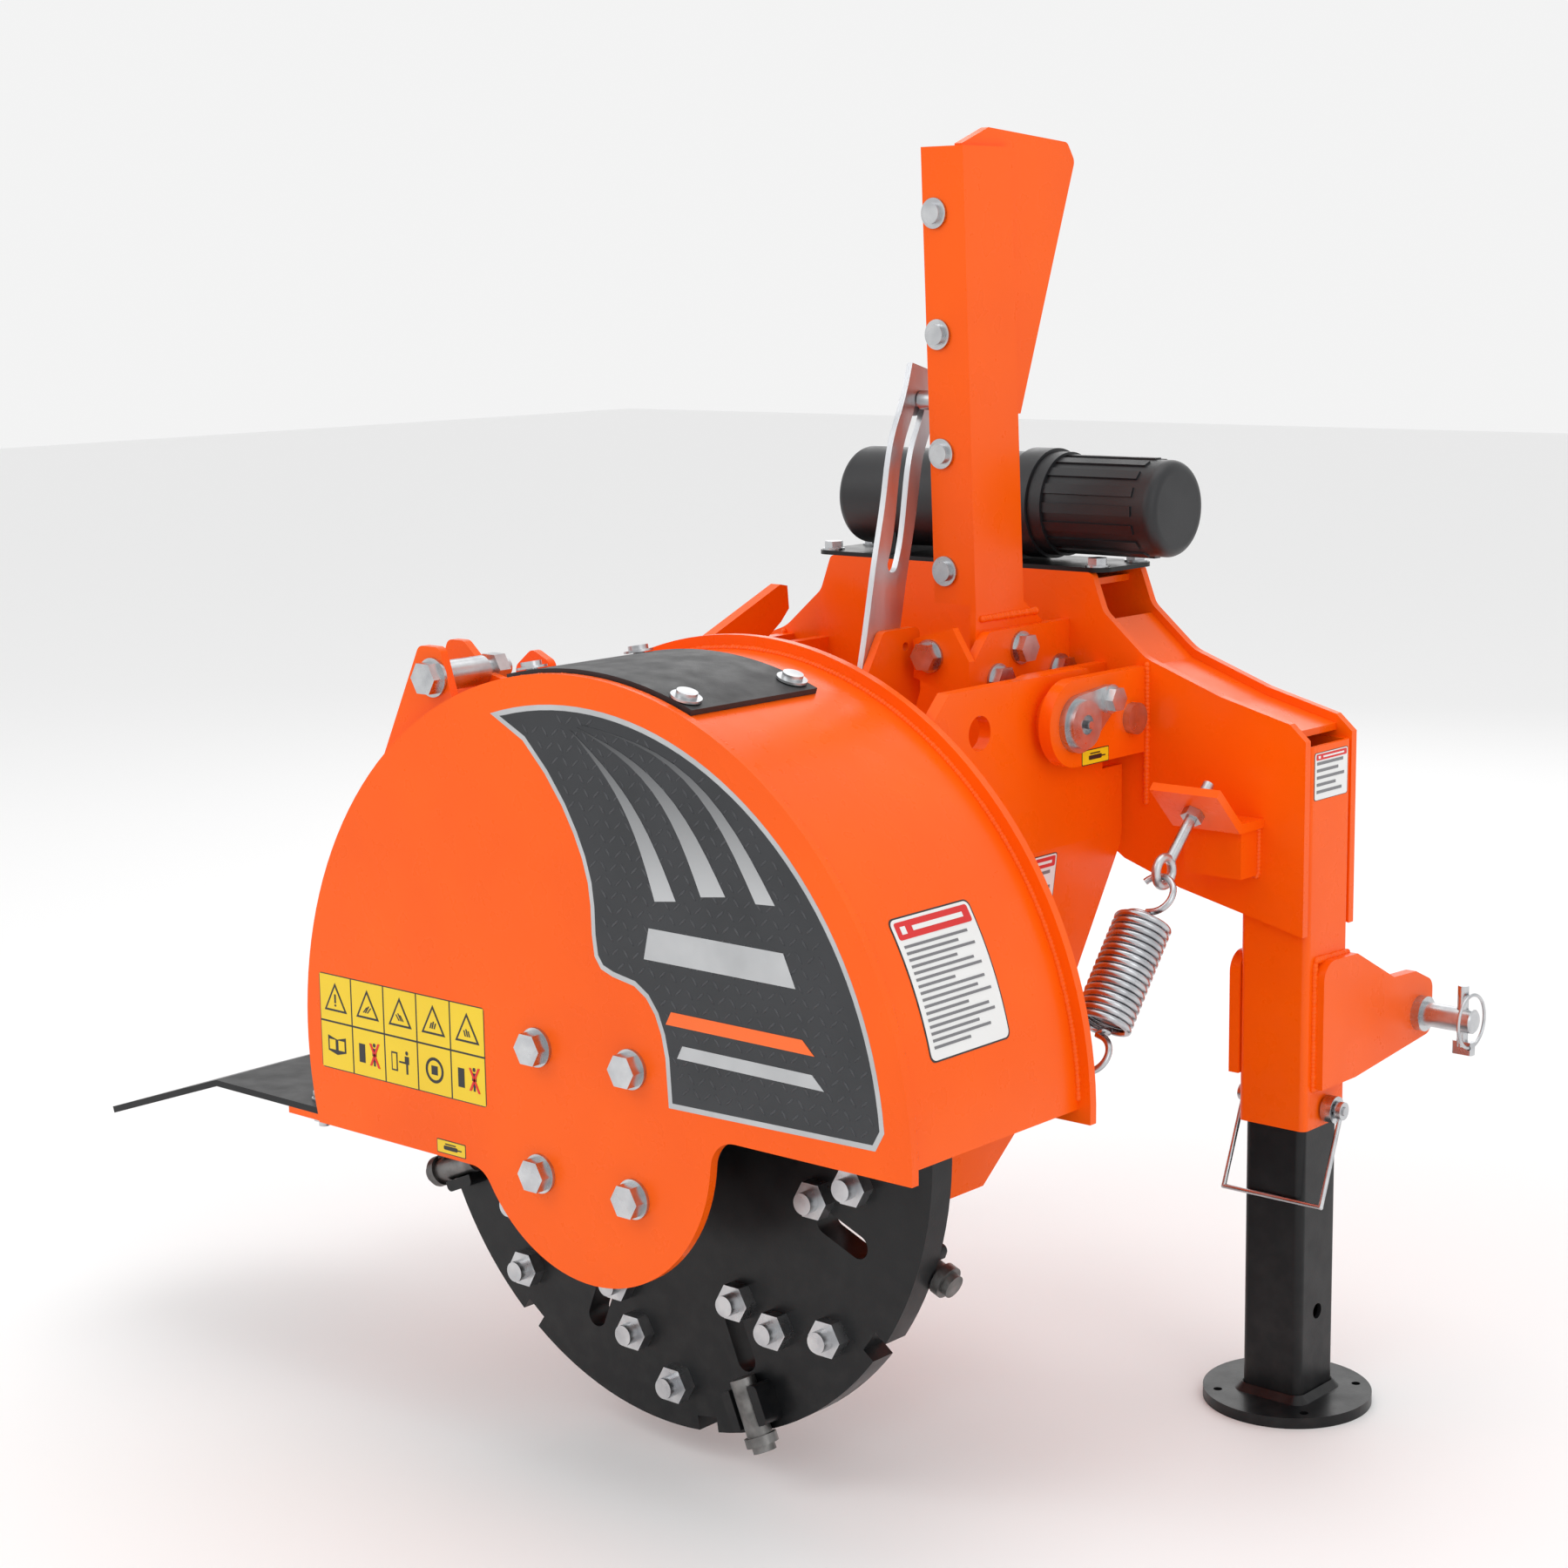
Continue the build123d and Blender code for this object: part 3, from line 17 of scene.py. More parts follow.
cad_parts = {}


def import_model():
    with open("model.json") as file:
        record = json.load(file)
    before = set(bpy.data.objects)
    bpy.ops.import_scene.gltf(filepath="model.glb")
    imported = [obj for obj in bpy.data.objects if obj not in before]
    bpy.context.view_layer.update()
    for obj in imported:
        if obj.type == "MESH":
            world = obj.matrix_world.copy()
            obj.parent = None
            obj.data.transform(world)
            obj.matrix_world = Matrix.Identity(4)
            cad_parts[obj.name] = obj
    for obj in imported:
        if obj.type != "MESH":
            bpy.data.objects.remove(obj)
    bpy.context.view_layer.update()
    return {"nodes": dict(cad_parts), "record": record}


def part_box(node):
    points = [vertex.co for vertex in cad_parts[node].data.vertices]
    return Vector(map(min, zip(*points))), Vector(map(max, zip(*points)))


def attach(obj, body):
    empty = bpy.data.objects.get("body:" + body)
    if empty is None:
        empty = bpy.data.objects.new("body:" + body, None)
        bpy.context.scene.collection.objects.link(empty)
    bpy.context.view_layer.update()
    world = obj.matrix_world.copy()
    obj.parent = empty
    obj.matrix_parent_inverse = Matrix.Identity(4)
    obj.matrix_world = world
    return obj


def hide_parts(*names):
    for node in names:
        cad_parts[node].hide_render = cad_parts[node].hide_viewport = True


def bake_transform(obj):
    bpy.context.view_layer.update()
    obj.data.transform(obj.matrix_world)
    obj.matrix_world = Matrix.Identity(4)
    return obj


log = logging.getLogger("stump_grinder")

Point = tuple[float, float]
Colour = tuple[float, float, float]
Lift = Callable[[float, float, float], Vector]

LAYER = 0.00016  # thickness of one printed layer, in metres


def mm(*values: float) -> Vector:
    """Turns three millimetre values into a vector in metres."""
    return Vector(values) / 1000.0


# ------------------------------------------------------------------ shader node groups


def new_group(name: str, inputs: dict[str, tuple[str, object]], outputs: dict[str, str]) -> bpy.types.NodeTree:
    """Makes an empty shader node group with named sockets.

    Args:
        name: The group's name.
        inputs: Socket name to its type and default value.
        outputs: Socket name to its type.

    Returns:
        The group, holding only its input and output nodes.
    """
    group = bpy.data.node_groups.new(name, "ShaderNodeTree")
    for label, (kind, default) in inputs.items():
        socket = group.interface.new_socket(name=label, in_out="INPUT", socket_type=kind)
        if default is not None:
            socket.default_value = default
    for label, kind in outputs.items():
        group.interface.new_socket(name=label, in_out="OUTPUT", socket_type=kind)
    group.nodes.new("NodeGroupInput").name = "in"
    group.nodes.new("NodeGroupOutput").name = "out"
    return group


def noise(tree: bpy.types.NodeTree, position: bpy.types.NodeSocket, scale: float,
          detail: float = 2.0) -> bpy.types.Node:
    """Adds a noise texture that reads a position.

    Args:
        tree: The tree it is added to.
        position: The socket that gives the place.
        scale: Features per metre.
        detail: Octaves of finer noise.

    Returns:
        The texture node.
    """
    node = tree.nodes.new("ShaderNodeTexNoise")
    node.inputs["Scale"].default_value = scale
    node.inputs["Detail"].default_value = detail
    tree.links.new(position, node.inputs["Vector"])
    return node


def remap(tree: bpy.types.NodeTree, value: bpy.types.NodeSocket, span: Point, low: object,
          high: object) -> bpy.types.NodeSocket:
    """Maps a value's span onto two ends, each a number or a socket.

    Args:
        tree: The tree it is added to.
        value: The value to map.
        span: The value's own low and high ends.
        low: Result at the low end.
        high: Result at the high end.

    Returns:
        The mapped value's socket.
    """
    node = tree.nodes.new("ShaderNodeMapRange")
    node.inputs["From Min"].default_value, node.inputs["From Max"].default_value = span
    for label, end in (("To Min", low), ("To Max", high)):
        if isinstance(end, bpy.types.NodeSocket):
            tree.links.new(end, node.inputs[label])
        else:
            node.inputs[label].default_value = end
    tree.links.new(value, node.inputs["Value"])
    return node.outputs["Result"]


def blend_colours(tree: bpy.types.NodeTree, mask: bpy.types.NodeSocket, first: object,
                  second: object) -> bpy.types.NodeSocket:
    """Mixes two colours by a mask.

    Args:
        tree: The tree it is added to.
        mask: 0 for the first colour and 1 for the second.
        first: The first colour, a socket or an RGBA value.
        second: The second colour.

    Returns:
        The mixed colour's socket.
    """
    node = tree.nodes.new("ShaderNodeMix")
    node.data_type = "RGBA"
    for slot, colour in ((6, first), (7, second)):
        if isinstance(colour, bpy.types.NodeSocket):
            tree.links.new(colour, node.inputs[slot])
        else:
            node.inputs[slot].default_value = colour
    tree.links.new(mask, node.inputs["Factor"])
    return node.outputs[2]


def tone_group() -> bpy.types.NodeTree:
    """Builds the group for slow colour drift, uneven gloss and a fine skin texture."""
    group = new_group(
        "tone_and_skin",
        {
            "Position": ("NodeSocketVector", None),
            "Colour": ("NodeSocketColor", (0.5, 0.5, 0.5, 1)),
            "Deep Colour": ("NodeSocketColor", (0.4, 0.4, 0.4, 1)),
            "Patch Scale": ("NodeSocketFloat", 6.0),
            "Skin Scale": ("NodeSocketFloat", 600.0),
            "Gloss Low": ("NodeSocketFloat", 0.3),
            "Gloss High": ("NodeSocketFloat", 0.4),
        },
        {"Colour": "NodeSocketColor", "Roughness": "NodeSocketFloat", "Height": "NodeSocketFloat"},
    )
    source, sink = group.nodes["in"].outputs, group.nodes["out"].inputs
    drift = noise(group, source["Position"], 6.0, 3.0)
    group.links.new(source["Patch Scale"], drift.inputs["Scale"])
    skin = noise(group, source["Position"], 600.0, 1.5)
    group.links.new(source["Skin Scale"], skin.inputs["Scale"])
    smudge = noise(group, source["Position"], 38.0, 4.0)
    mask = remap(group, drift.outputs["Fac"], (0.35, 0.7), 0.0, 1.0)
    group.links.new(blend_colours(group, mask, source["Colour"], source["Deep Colour"]), sink["Colour"])
    gloss = remap(group, smudge.outputs["Fac"], (0.3, 0.72), source["Gloss Low"], source["Gloss High"])
    group.links.new(gloss, sink["Roughness"])
    group.links.new(skin.outputs["Fac"], sink["Height"])
    return group


def dust_group() -> bpy.types.NodeTree:
    """Builds the group for a mask of dust that thickens towards the ground."""
    group = new_group(
        "settled_dust",
        {
            "Position": ("NodeSocketVector", None),
            "Top": ("NodeSocketFloat", 0.0),
            "Ground": ("NodeSocketFloat", -0.32),
            "Amount": ("NodeSocketFloat", 0.3),
        },
        {"Mask": "NodeSocketFloat"},
    )
    source, sink = group.nodes["in"].outputs, group.nodes["out"].inputs
    axes = group.nodes.new("ShaderNodeSeparateXYZ")
    group.links.new(source["Position"], axes.inputs[0])
    depth = group.nodes.new("ShaderNodeMapRange")
    group.links.new(axes.outputs["Z"], depth.inputs["Value"])
    group.links.new(source["Top"], depth.inputs["From Min"])
    group.links.new(source["Ground"], depth.inputs["From Max"])
    speck = remap(group, noise(group, source["Position"], 55.0, 6.0).outputs["Fac"], (0.42, 0.72), 0.0, 1.0)
    product = group.nodes.new("ShaderNodeMath")
    product.operation = "MULTIPLY"
    group.links.new(depth.outputs["Result"], product.inputs[0])
    group.links.new(speck, product.inputs[1])
    scaled = group.nodes.new("ShaderNodeMath")
    scaled.operation = "MULTIPLY"
    group.links.new(product.outputs[0], scaled.inputs[0])
    group.links.new(source["Amount"], scaled.inputs[1])
    group.links.new(scaled.outputs[0], sink["Mask"])
    return group


# ------------------------------------------------------------------ finishes


@dataclass(frozen=True)
class Finish:
    """A surface finish: a colour that drifts a little, uneven gloss and a fine skin."""

    name: str
    colour: Colour
    deep: Colour
    gloss: Point
    metallic: float = 0.0
    coat: float = 0.0
    coat_gloss: float = 0.1
    sheen: float = 0.5
    patch_scale: float = 6.0
    skin_scale: float = 700.0
    skin_depth: float = 0.08
    stretch: Colour = (1.0, 1.0, 1.0)
    dust: float = 0.0
    dust_top: float = 0.0

    def material(self) -> bpy.types.Material:
        """Returns the finish's material, made on first use."""
        return bpy.data.materials.get(self.name) or self.build()

    def build(self) -> bpy.types.Material:
        """Builds the node tree of the finish.

        Returns:
            The new material.
        """
        material = bpy.data.materials.new(self.name)
        material.use_nodes = True
        material.diffuse_color = (*self.colour, 1)
        tree = material.node_tree
        shader = tree.nodes["Principled BSDF"]
        shader.inputs["Metallic"].default_value = self.metallic
        shader.inputs["Coat Weight"].default_value = self.coat
        shader.inputs["Specular IOR Level"].default_value = self.sheen
        shader.inputs["Coat Roughness"].default_value = self.coat_gloss
        place = tree.nodes.new("ShaderNodeTexCoord").outputs["Object"]
        if self.stretch != (1.0, 1.0, 1.0):
            stretched = tree.nodes.new("ShaderNodeMapping")
            stretched.inputs["Scale"].default_value = self.stretch
            tree.links.new(place, stretched.inputs["Vector"])
            place = stretched.outputs["Vector"]
        tone = tree.nodes.new("ShaderNodeGroup")
        tone.node_tree = bpy.data.node_groups.get("tone_and_skin") or tone_group()
        tree.links.new(place, tone.inputs["Position"])
        tone.inputs["Colour"].default_value = (*self.colour, 1)
        tone.inputs["Deep Colour"].default_value = (*self.deep, 1)
        tone.inputs["Patch Scale"].default_value = self.patch_scale
        tone.inputs["Skin Scale"].default_value = self.skin_scale
        tone.inputs["Gloss Low"].default_value, tone.inputs["Gloss High"].default_value = self.gloss
        colour = tone.outputs["Colour"]
        if self.dust:
            settled = tree.nodes.new("ShaderNodeGroup")
            settled.node_tree = bpy.data.node_groups.get("settled_dust") or dust_group()
            tree.links.new(tree.nodes["Texture Coordinate"].outputs["Object"], settled.inputs["Position"])
            settled.inputs["Amount"].default_value = self.dust
            settled.inputs["Top"].default_value = self.dust_top
            colour = blend_colours(tree, settled.outputs["Mask"], colour, (0.16, 0.15, 0.14, 1))
        bump = tree.nodes.new("ShaderNodeBump")
        bump.inputs["Strength"].default_value = self.skin_depth
        bump.inputs["Distance"].default_value = 0.001
        tree.links.new(tone.outputs["Height"], bump.inputs["Height"])
        tree.links.new(bump.outputs["Normal"], shader.inputs["Normal"])
        tree.links.new(colour, shader.inputs["Base Color"])
        tree.links.new(tone.outputs["Roughness"], shader.inputs["Roughness"])
        return material


@dataclass(frozen=True)
class FadingPrint(Finish):
    """Printed ink that fades into a second colour up the panel."""

    faded: Colour = (0.02, 0.022, 0.025)
    fade_from: float = 0.2
    fade_to: float = 0.33

    def build(self) -> bpy.types.Material:
        """Builds the plain print and mixes the second colour in by height."""
        material = super().build()
        tree = material.node_tree
        shader = tree.nodes["Principled BSDF"]
        axes = tree.nodes.new("ShaderNodeSeparateXYZ")
        tree.links.new(tree.nodes["Texture Coordinate"].outputs["Object"], axes.inputs[0])
        rise = remap(tree, axes.outputs["Z"], (self.fade_from, self.fade_to), 0.0, 1.0)
        was = shader.inputs["Base Color"].links[0].from_socket
        tree.links.new(blend_colours(tree, rise, was, (*self.faded, 1)), shader.inputs["Base Color"])
        return material


ORANGE = Finish("orange_powder_coat", (0.96, 0.117, 0.0012), (0.9, 0.101, 0.001), (0.24, 0.36), coat=0.05,
                coat_gloss=0.12, sheen=0.2, skin_scale=420.0, skin_depth=0.05)
BLACK = Finish("satin_black_paint", (0.006, 0.0065, 0.0075), (0.004, 0.0045, 0.0055), (0.3, 0.44), coat=0.05,
               coat_gloss=0.2, sheen=0.28, skin_scale=520.0, skin_depth=0.06, dust=0.07)
ZINC = Finish("bright_zinc", (0.62, 0.63, 0.64), (0.47, 0.48, 0.5), (0.22, 0.4), metallic=1.0, patch_scale=60.0,
              skin_scale=1500.0, skin_depth=0.06)
LINK_ZINC = Finish("galvanised_bar", (0.66, 0.67, 0.69), (0.45, 0.46, 0.48), (0.28, 0.45), metallic=1.0,
                   patch_scale=22.0, skin_scale=800.0, skin_depth=0.1, stretch=(1.0, 1.0, 0.18))
SPRING = Finish("spring_wire", (0.6, 0.61, 0.63), (0.42, 0.43, 0.45), (0.2, 0.34), metallic=1.0, patch_scale=45.0,
                skin_scale=1200.0, skin_depth=0.05)
TOOL = Finish("tool_steel", (0.23, 0.225, 0.22), (0.11, 0.108, 0.105), (0.3, 0.5), metallic=0.9, patch_scale=70.0,
              skin_scale=900.0, skin_depth=0.2)
SHAFT = Finish("turned_steel", (0.55, 0.55, 0.56), (0.4, 0.4, 0.41), (0.2, 0.32), metallic=1.0, patch_scale=40.0,
               skin_scale=900.0, skin_depth=0.08, stretch=(1.0, 6.0, 1.0))
CAST = Finish("painted_casting", (0.05, 0.052, 0.055), (0.03, 0.032, 0.034), (0.5, 0.7), metallic=0.2,
              patch_scale=30.0, skin_scale=260.0, skin_depth=0.5)
RUBBER = Finish("black_rubber", (0.016, 0.017, 0.019), (0.01, 0.011, 0.012), (0.42, 0.58), patch_scale=14.0,
                skin_scale=900.0, skin_depth=0.22)
MOULDED = Finish("moulded_black", (0.014, 0.015, 0.017), (0.009, 0.01, 0.012), (0.34, 0.46), patch_scale=12.0,
                 skin_scale=1600.0, skin_depth=0.2)
CHARCOAL = Finish("charcoal_print", (0.021, 0.023, 0.027), (0.014, 0.016, 0.019), (0.3, 0.42), patch_scale=18.0,
                  skin_scale=500.0, skin_depth=0.02)
CHARCOAL_TREAD = Finish("charcoal_tread_print", (0.043, 0.046, 0.052), (0.028, 0.03, 0.035), (0.3, 0.42),
                        patch_scale=30.0, skin_scale=500.0, skin_depth=0.02)
SILVER_PRINT = Finish("silver_print", (0.5, 0.51, 0.52), (0.42, 0.43, 0.44), (0.3, 0.4), patch_scale=20.0,
                      skin_scale=500.0, skin_depth=0.02)
STREAK_PRINT = FadingPrint("streak_print", (0.52, 0.53, 0.54), (0.45, 0.46, 0.47), (0.3, 0.4), skin_depth=0.02)
ORANGE_PRINT = Finish("orange_print", (1.0, 0.16, 0.01), (0.9, 0.13, 0.008), (0.3, 0.4), skin_depth=0.02)
WHITE_PRINT = Finish("white_label", (0.82, 0.82, 0.81), (0.76, 0.76, 0.75), (0.3, 0.4), skin_depth=0.02)
RED_PRINT = Finish("red_label", (0.72, 0.012, 0.012), (0.62, 0.01, 0.01), (0.3, 0.4), skin_depth=0.02)
BLACK_PRINT = Finish("black_label", (0.015, 0.015, 0.016), (0.01, 0.01, 0.011), (0.3, 0.4), skin_depth=0.02)
GREY_PRINT = Finish("grey_label", (0.2, 0.2, 0.21), (0.15, 0.15, 0.16), (0.3, 0.4), skin_depth=0.02)
YELLOW_PRINT = Finish("yellow_label", (0.86, 0.6, 0.01), (0.8, 0.53, 0.008), (0.3, 0.4), skin_depth=0.02)


class Body(Enum):
    """The moving bodies that new pieces ride on."""

    FRAME = "frame"
    HEAD = "head"


SLOT_FINISH: dict[str, Finish] = {
    "orange_paint": ORANGE, "black_paint": BLACK, "zinc_steel": ZINC, "bare_steel": SHAFT, "cast_iron": CAST,
    "rubber": RUBBER, "black_plastic": MOULDED, "spring_steel": SPRING,
}
NODE_FINISH: dict[str, Finish] = {"teeth": TOOL, "depth_link": LINK_ZINC}


def dress_nodes(frame: dict) -> None:
    """Gives every node of the frame its finish.

    Args:
        frame: The loaded frame.
    """
    slots = {part["node"]: part["material_slot"] for part in frame["record"]["subparts"]}
    for name, node in frame["nodes"].items():
        finish = NODE_FINISH.get(name) or SLOT_FINISH[slots[name]]
        for slot in node.material_slots:
            slot.material = finish.material()
        log.info("node %s: %s", name, finish.name)


# ------------------------------------------------------------------ geometry node trees


def geometry_tree(name: str, inputs: dict[str, tuple[str, object]]) -> bpy.types.NodeTree:
    """Makes a geometry node tree with named inputs besides its geometry.

    Args:
        name: The tree's name.
        inputs: Socket name to its type and default value.

    Returns:
        The tree, holding only its input and output nodes.
    """
    tree = bpy.data.node_groups.new(name, "GeometryNodeTree")
    tree.interface.new_socket(name="Geometry", in_out="INPUT", socket_type="NodeSocketGeometry")
    for label, (kind, default) in inputs.items():
        socket = tree.interface.new_socket(name=label, in_out="INPUT", socket_type=kind)
        if default is not None:
            socket.default_value = default
    tree.interface.new_socket(name="Geometry", in_out="OUTPUT", socket_type="NodeSocketGeometry")
    tree.nodes.new("NodeGroupInput").name = "in"
    tree.nodes.new("NodeGroupOutput").name = "out"
    return tree


def finish_tree(tree: bpy.types.NodeTree, shape: bpy.types.NodeSocket) -> bpy.types.NodeTree:
    """Ends a tree in smooth shading, realised instances and its material input.

    Args:
        tree: The tree to end.
        shape: The geometry made so far.

    Returns:
        The same tree.
    """
    smooth = tree.nodes.new("GeometryNodeSetShadeSmooth")
    real = tree.nodes.new("GeometryNodeRealizeInstances")
    paint = tree.nodes.new("GeometryNodeSetMaterial")
    tree.links.new(shape, smooth.inputs["Geometry"])
    tree.links.new(smooth.outputs[0], real.inputs["Geometry"])
    tree.links.new(real.outputs[0], paint.inputs["Geometry"])
    tree.links.new(tree.nodes["in"].outputs["Material"], paint.inputs["Material"])
    tree.links.new(paint.outputs[0], tree.nodes["out"].inputs["Geometry"])
    return tree


def wire_tree() -> bpy.types.NodeTree:
    """Builds the tree that sweeps a round wire along a line of points."""
    tree = geometry_tree("wire_along_line", {
        "Wire Radius": ("NodeSocketFloat", 0.003), "Sides": ("NodeSocketInt", 12),
        "Material": ("NodeSocketMaterial", None)})
    source = tree.nodes["in"].outputs
    line = tree.nodes.new("GeometryNodeMeshToCurve")
    ring = tree.nodes.new("GeometryNodeCurvePrimitiveCircle")
    sweep = tree.nodes.new("GeometryNodeCurveToMesh")
    sweep.inputs["Fill Caps"].default_value = True
    tree.links.new(source["Geometry"], line.inputs["Mesh"])
    tree.links.new(source["Wire Radius"], ring.inputs["Radius"])
    tree.links.new(source["Sides"], ring.inputs["Resolution"])
    tree.links.new(line.outputs["Curve"], sweep.inputs["Curve"])
    tree.links.new(ring.outputs["Curve"], sweep.inputs["Profile Curve"])
    return finish_tree(tree, sweep.outputs["Mesh"])


def bead_tree() -> bpy.types.NodeTree:
    """Builds the tree that lays the overlapping ripples of a weld bead along a line."""
    tree = geometry_tree("weld_bead", {
        "Ripple Radius": ("NodeSocketFloat", 0.003), "Ripple Step": ("NodeSocketFloat", 0.003),
        "Seed": ("NodeSocketInt", 7), "Material": ("NodeSocketMaterial", None)})
    source = tree.nodes["in"].outputs
    line = tree.nodes.new("GeometryNodeMeshToCurve")
    spaced = tree.nodes.new("GeometryNodeResampleCurve")
    spaced.mode = "LENGTH"
    ripple = tree.nodes.new("GeometryNodeMeshUVSphere")
    ripple.inputs["Segments"].default_value = 8
    ripple.inputs["Rings"].default_value = 5
    size = tree.nodes.new("FunctionNodeRandomValue")
    size.inputs[2].default_value, size.inputs[3].default_value = 0.86, 1.1
    place = tree.nodes.new("GeometryNodeInstanceOnPoints")
    tree.links.new(source["Geometry"], line.inputs["Mesh"])
    tree.links.new(line.outputs["Curve"], spaced.inputs["Curve"])
    tree.links.new(source["Ripple Step"], spaced.inputs["Length"])
    tree.links.new(source["Ripple Radius"], ripple.inputs["Radius"])
    tree.links.new(source["Seed"], size.inputs["Seed"])
    tree.links.new(spaced.outputs["Curve"], place.inputs["Points"])
    tree.links.new(ripple.outputs["Mesh"], place.inputs["Instance"])
    tree.links.new(size.outputs[1], place.inputs["Scale"])
    return finish_tree(tree, place.outputs["Instances"])


def tread_tree() -> bpy.types.NodeTree:
    """Builds the tree that sets small lozenges on points, each turned by the point's own angle."""
    tree = geometry_tree("tread_lozenges", {
        "Length": ("NodeSocketFloat", 0.006), "Width": ("NodeSocketFloat", 0.0014),
        "Thickness": ("NodeSocketFloat", 0.0002), "Material": ("NodeSocketMaterial", None)})
    source = tree.nodes["in"].outputs
    tile = tree.nodes.new("GeometryNodeMeshCylinder")
    tile.inputs["Vertices"].default_value = 6
    tile.inputs["Radius"].default_value = 1.0
    tree.links.new(source["Thickness"], tile.inputs["Depth"])
    size = tree.nodes.new("ShaderNodeCombineXYZ")
    size.inputs["Z"].default_value = 1.0
    tree.links.new(source["Length"], size.inputs["X"])
    tree.links.new(source["Width"], size.inputs["Y"])
    shape = tree.nodes.new("GeometryNodeTransform")
    upright = tree.nodes.new("GeometryNodeTransform")
    upright.inputs["Rotation"].default_value = (math.pi / 2, 0, 0)
    turn = tree.nodes.new("GeometryNodeInputNamedAttribute")
    turn.data_type = "FLOAT"
    turn.inputs["Name"].default_value = "turn"
    spin = tree.nodes.new("ShaderNodeCombineXYZ")
    place = tree.nodes.new("GeometryNodeInstanceOnPoints")
    tree.links.new(tile.outputs["Mesh"], shape.inputs["Geometry"])
    tree.links.new(size.outputs[0], shape.inputs["Scale"])
    tree.links.new(shape.outputs[0], upright.inputs["Geometry"])
    tree.links.new(turn.outputs["Attribute"], spin.inputs["Y"])
    tree.links.new(source["Geometry"], place.inputs["Points"])
    tree.links.new(upright.outputs[0], place.inputs["Instance"])
    tree.links.new(spin.outputs[0], place.inputs["Rotation"])
    return finish_tree(tree, place.outputs["Instances"])


def grow(name: str, lines: Sequence[Sequence[Vector]], tree: bpy.types.NodeTree, values: dict[str, object],
         turns: Sequence[float] = ()) -> bpy.types.Object:
    """Runs a geometry node tree over lines of points and keeps the result as a plain mesh.

    Args:
        name: The new object's name.
        lines: The lines; each is joined point to point, or left as points if turns are given.
        tree: The tree to run.
        values: Input name to value.
        turns: An angle for each point, for trees that read one.

    Returns:
        The object, linked to the scene.
    """
    seed = bpy.data.meshes.new(name + "_line")
    points: list[Vector] = []
    edges: list[tuple[int, int]] = []
    for line in lines:
        start = len(points)
        points.extend(line)
        if not turns:
            edges.extend((i, i + 1) for i in range(start, len(points) - 1))
    seed.from_pydata([tuple(p) for p in points], edges, [])
    if turns:
        seed.attributes.new("turn", "FLOAT", "POINT").data.foreach_set("value", list(turns))
    piece = bpy.data.objects.new(name, seed)
    bpy.context.scene.collection.objects.link(piece)
    modifier = piece.modifiers.new("grow", "NODES")
    modifier.node_group = tree
    for item in tree.interface.items_tree:
        if item.item_type == "SOCKET" and item.in_out == "INPUT" and item.name in values:
            modifier[item.identifier] = values[item.name]
    depsgraph = bpy.context.evaluated_depsgraph_get()
    mesh = bpy.data.meshes.new_from_object(piece.evaluated_get(depsgraph), depsgraph=depsgraph)
    piece.modifiers.remove(modifier)
    mesh.name = name
    piece.data = mesh
    bpy.data.meshes.remove(seed)
    face_outwards(mesh)
    return piece


def face_outwards(mesh: bpy.types.Mesh) -> None:
    """Turns every closed shell of a mesh to face outwards."""
    shell = bmesh.new()
    shell.from_mesh(mesh)
    bmesh.ops.recalc_face_normals(shell, faces=shell.faces)
    shell.to_mesh(mesh)
    shell.free()


# ------------------------------------------------------------------ printed sheets


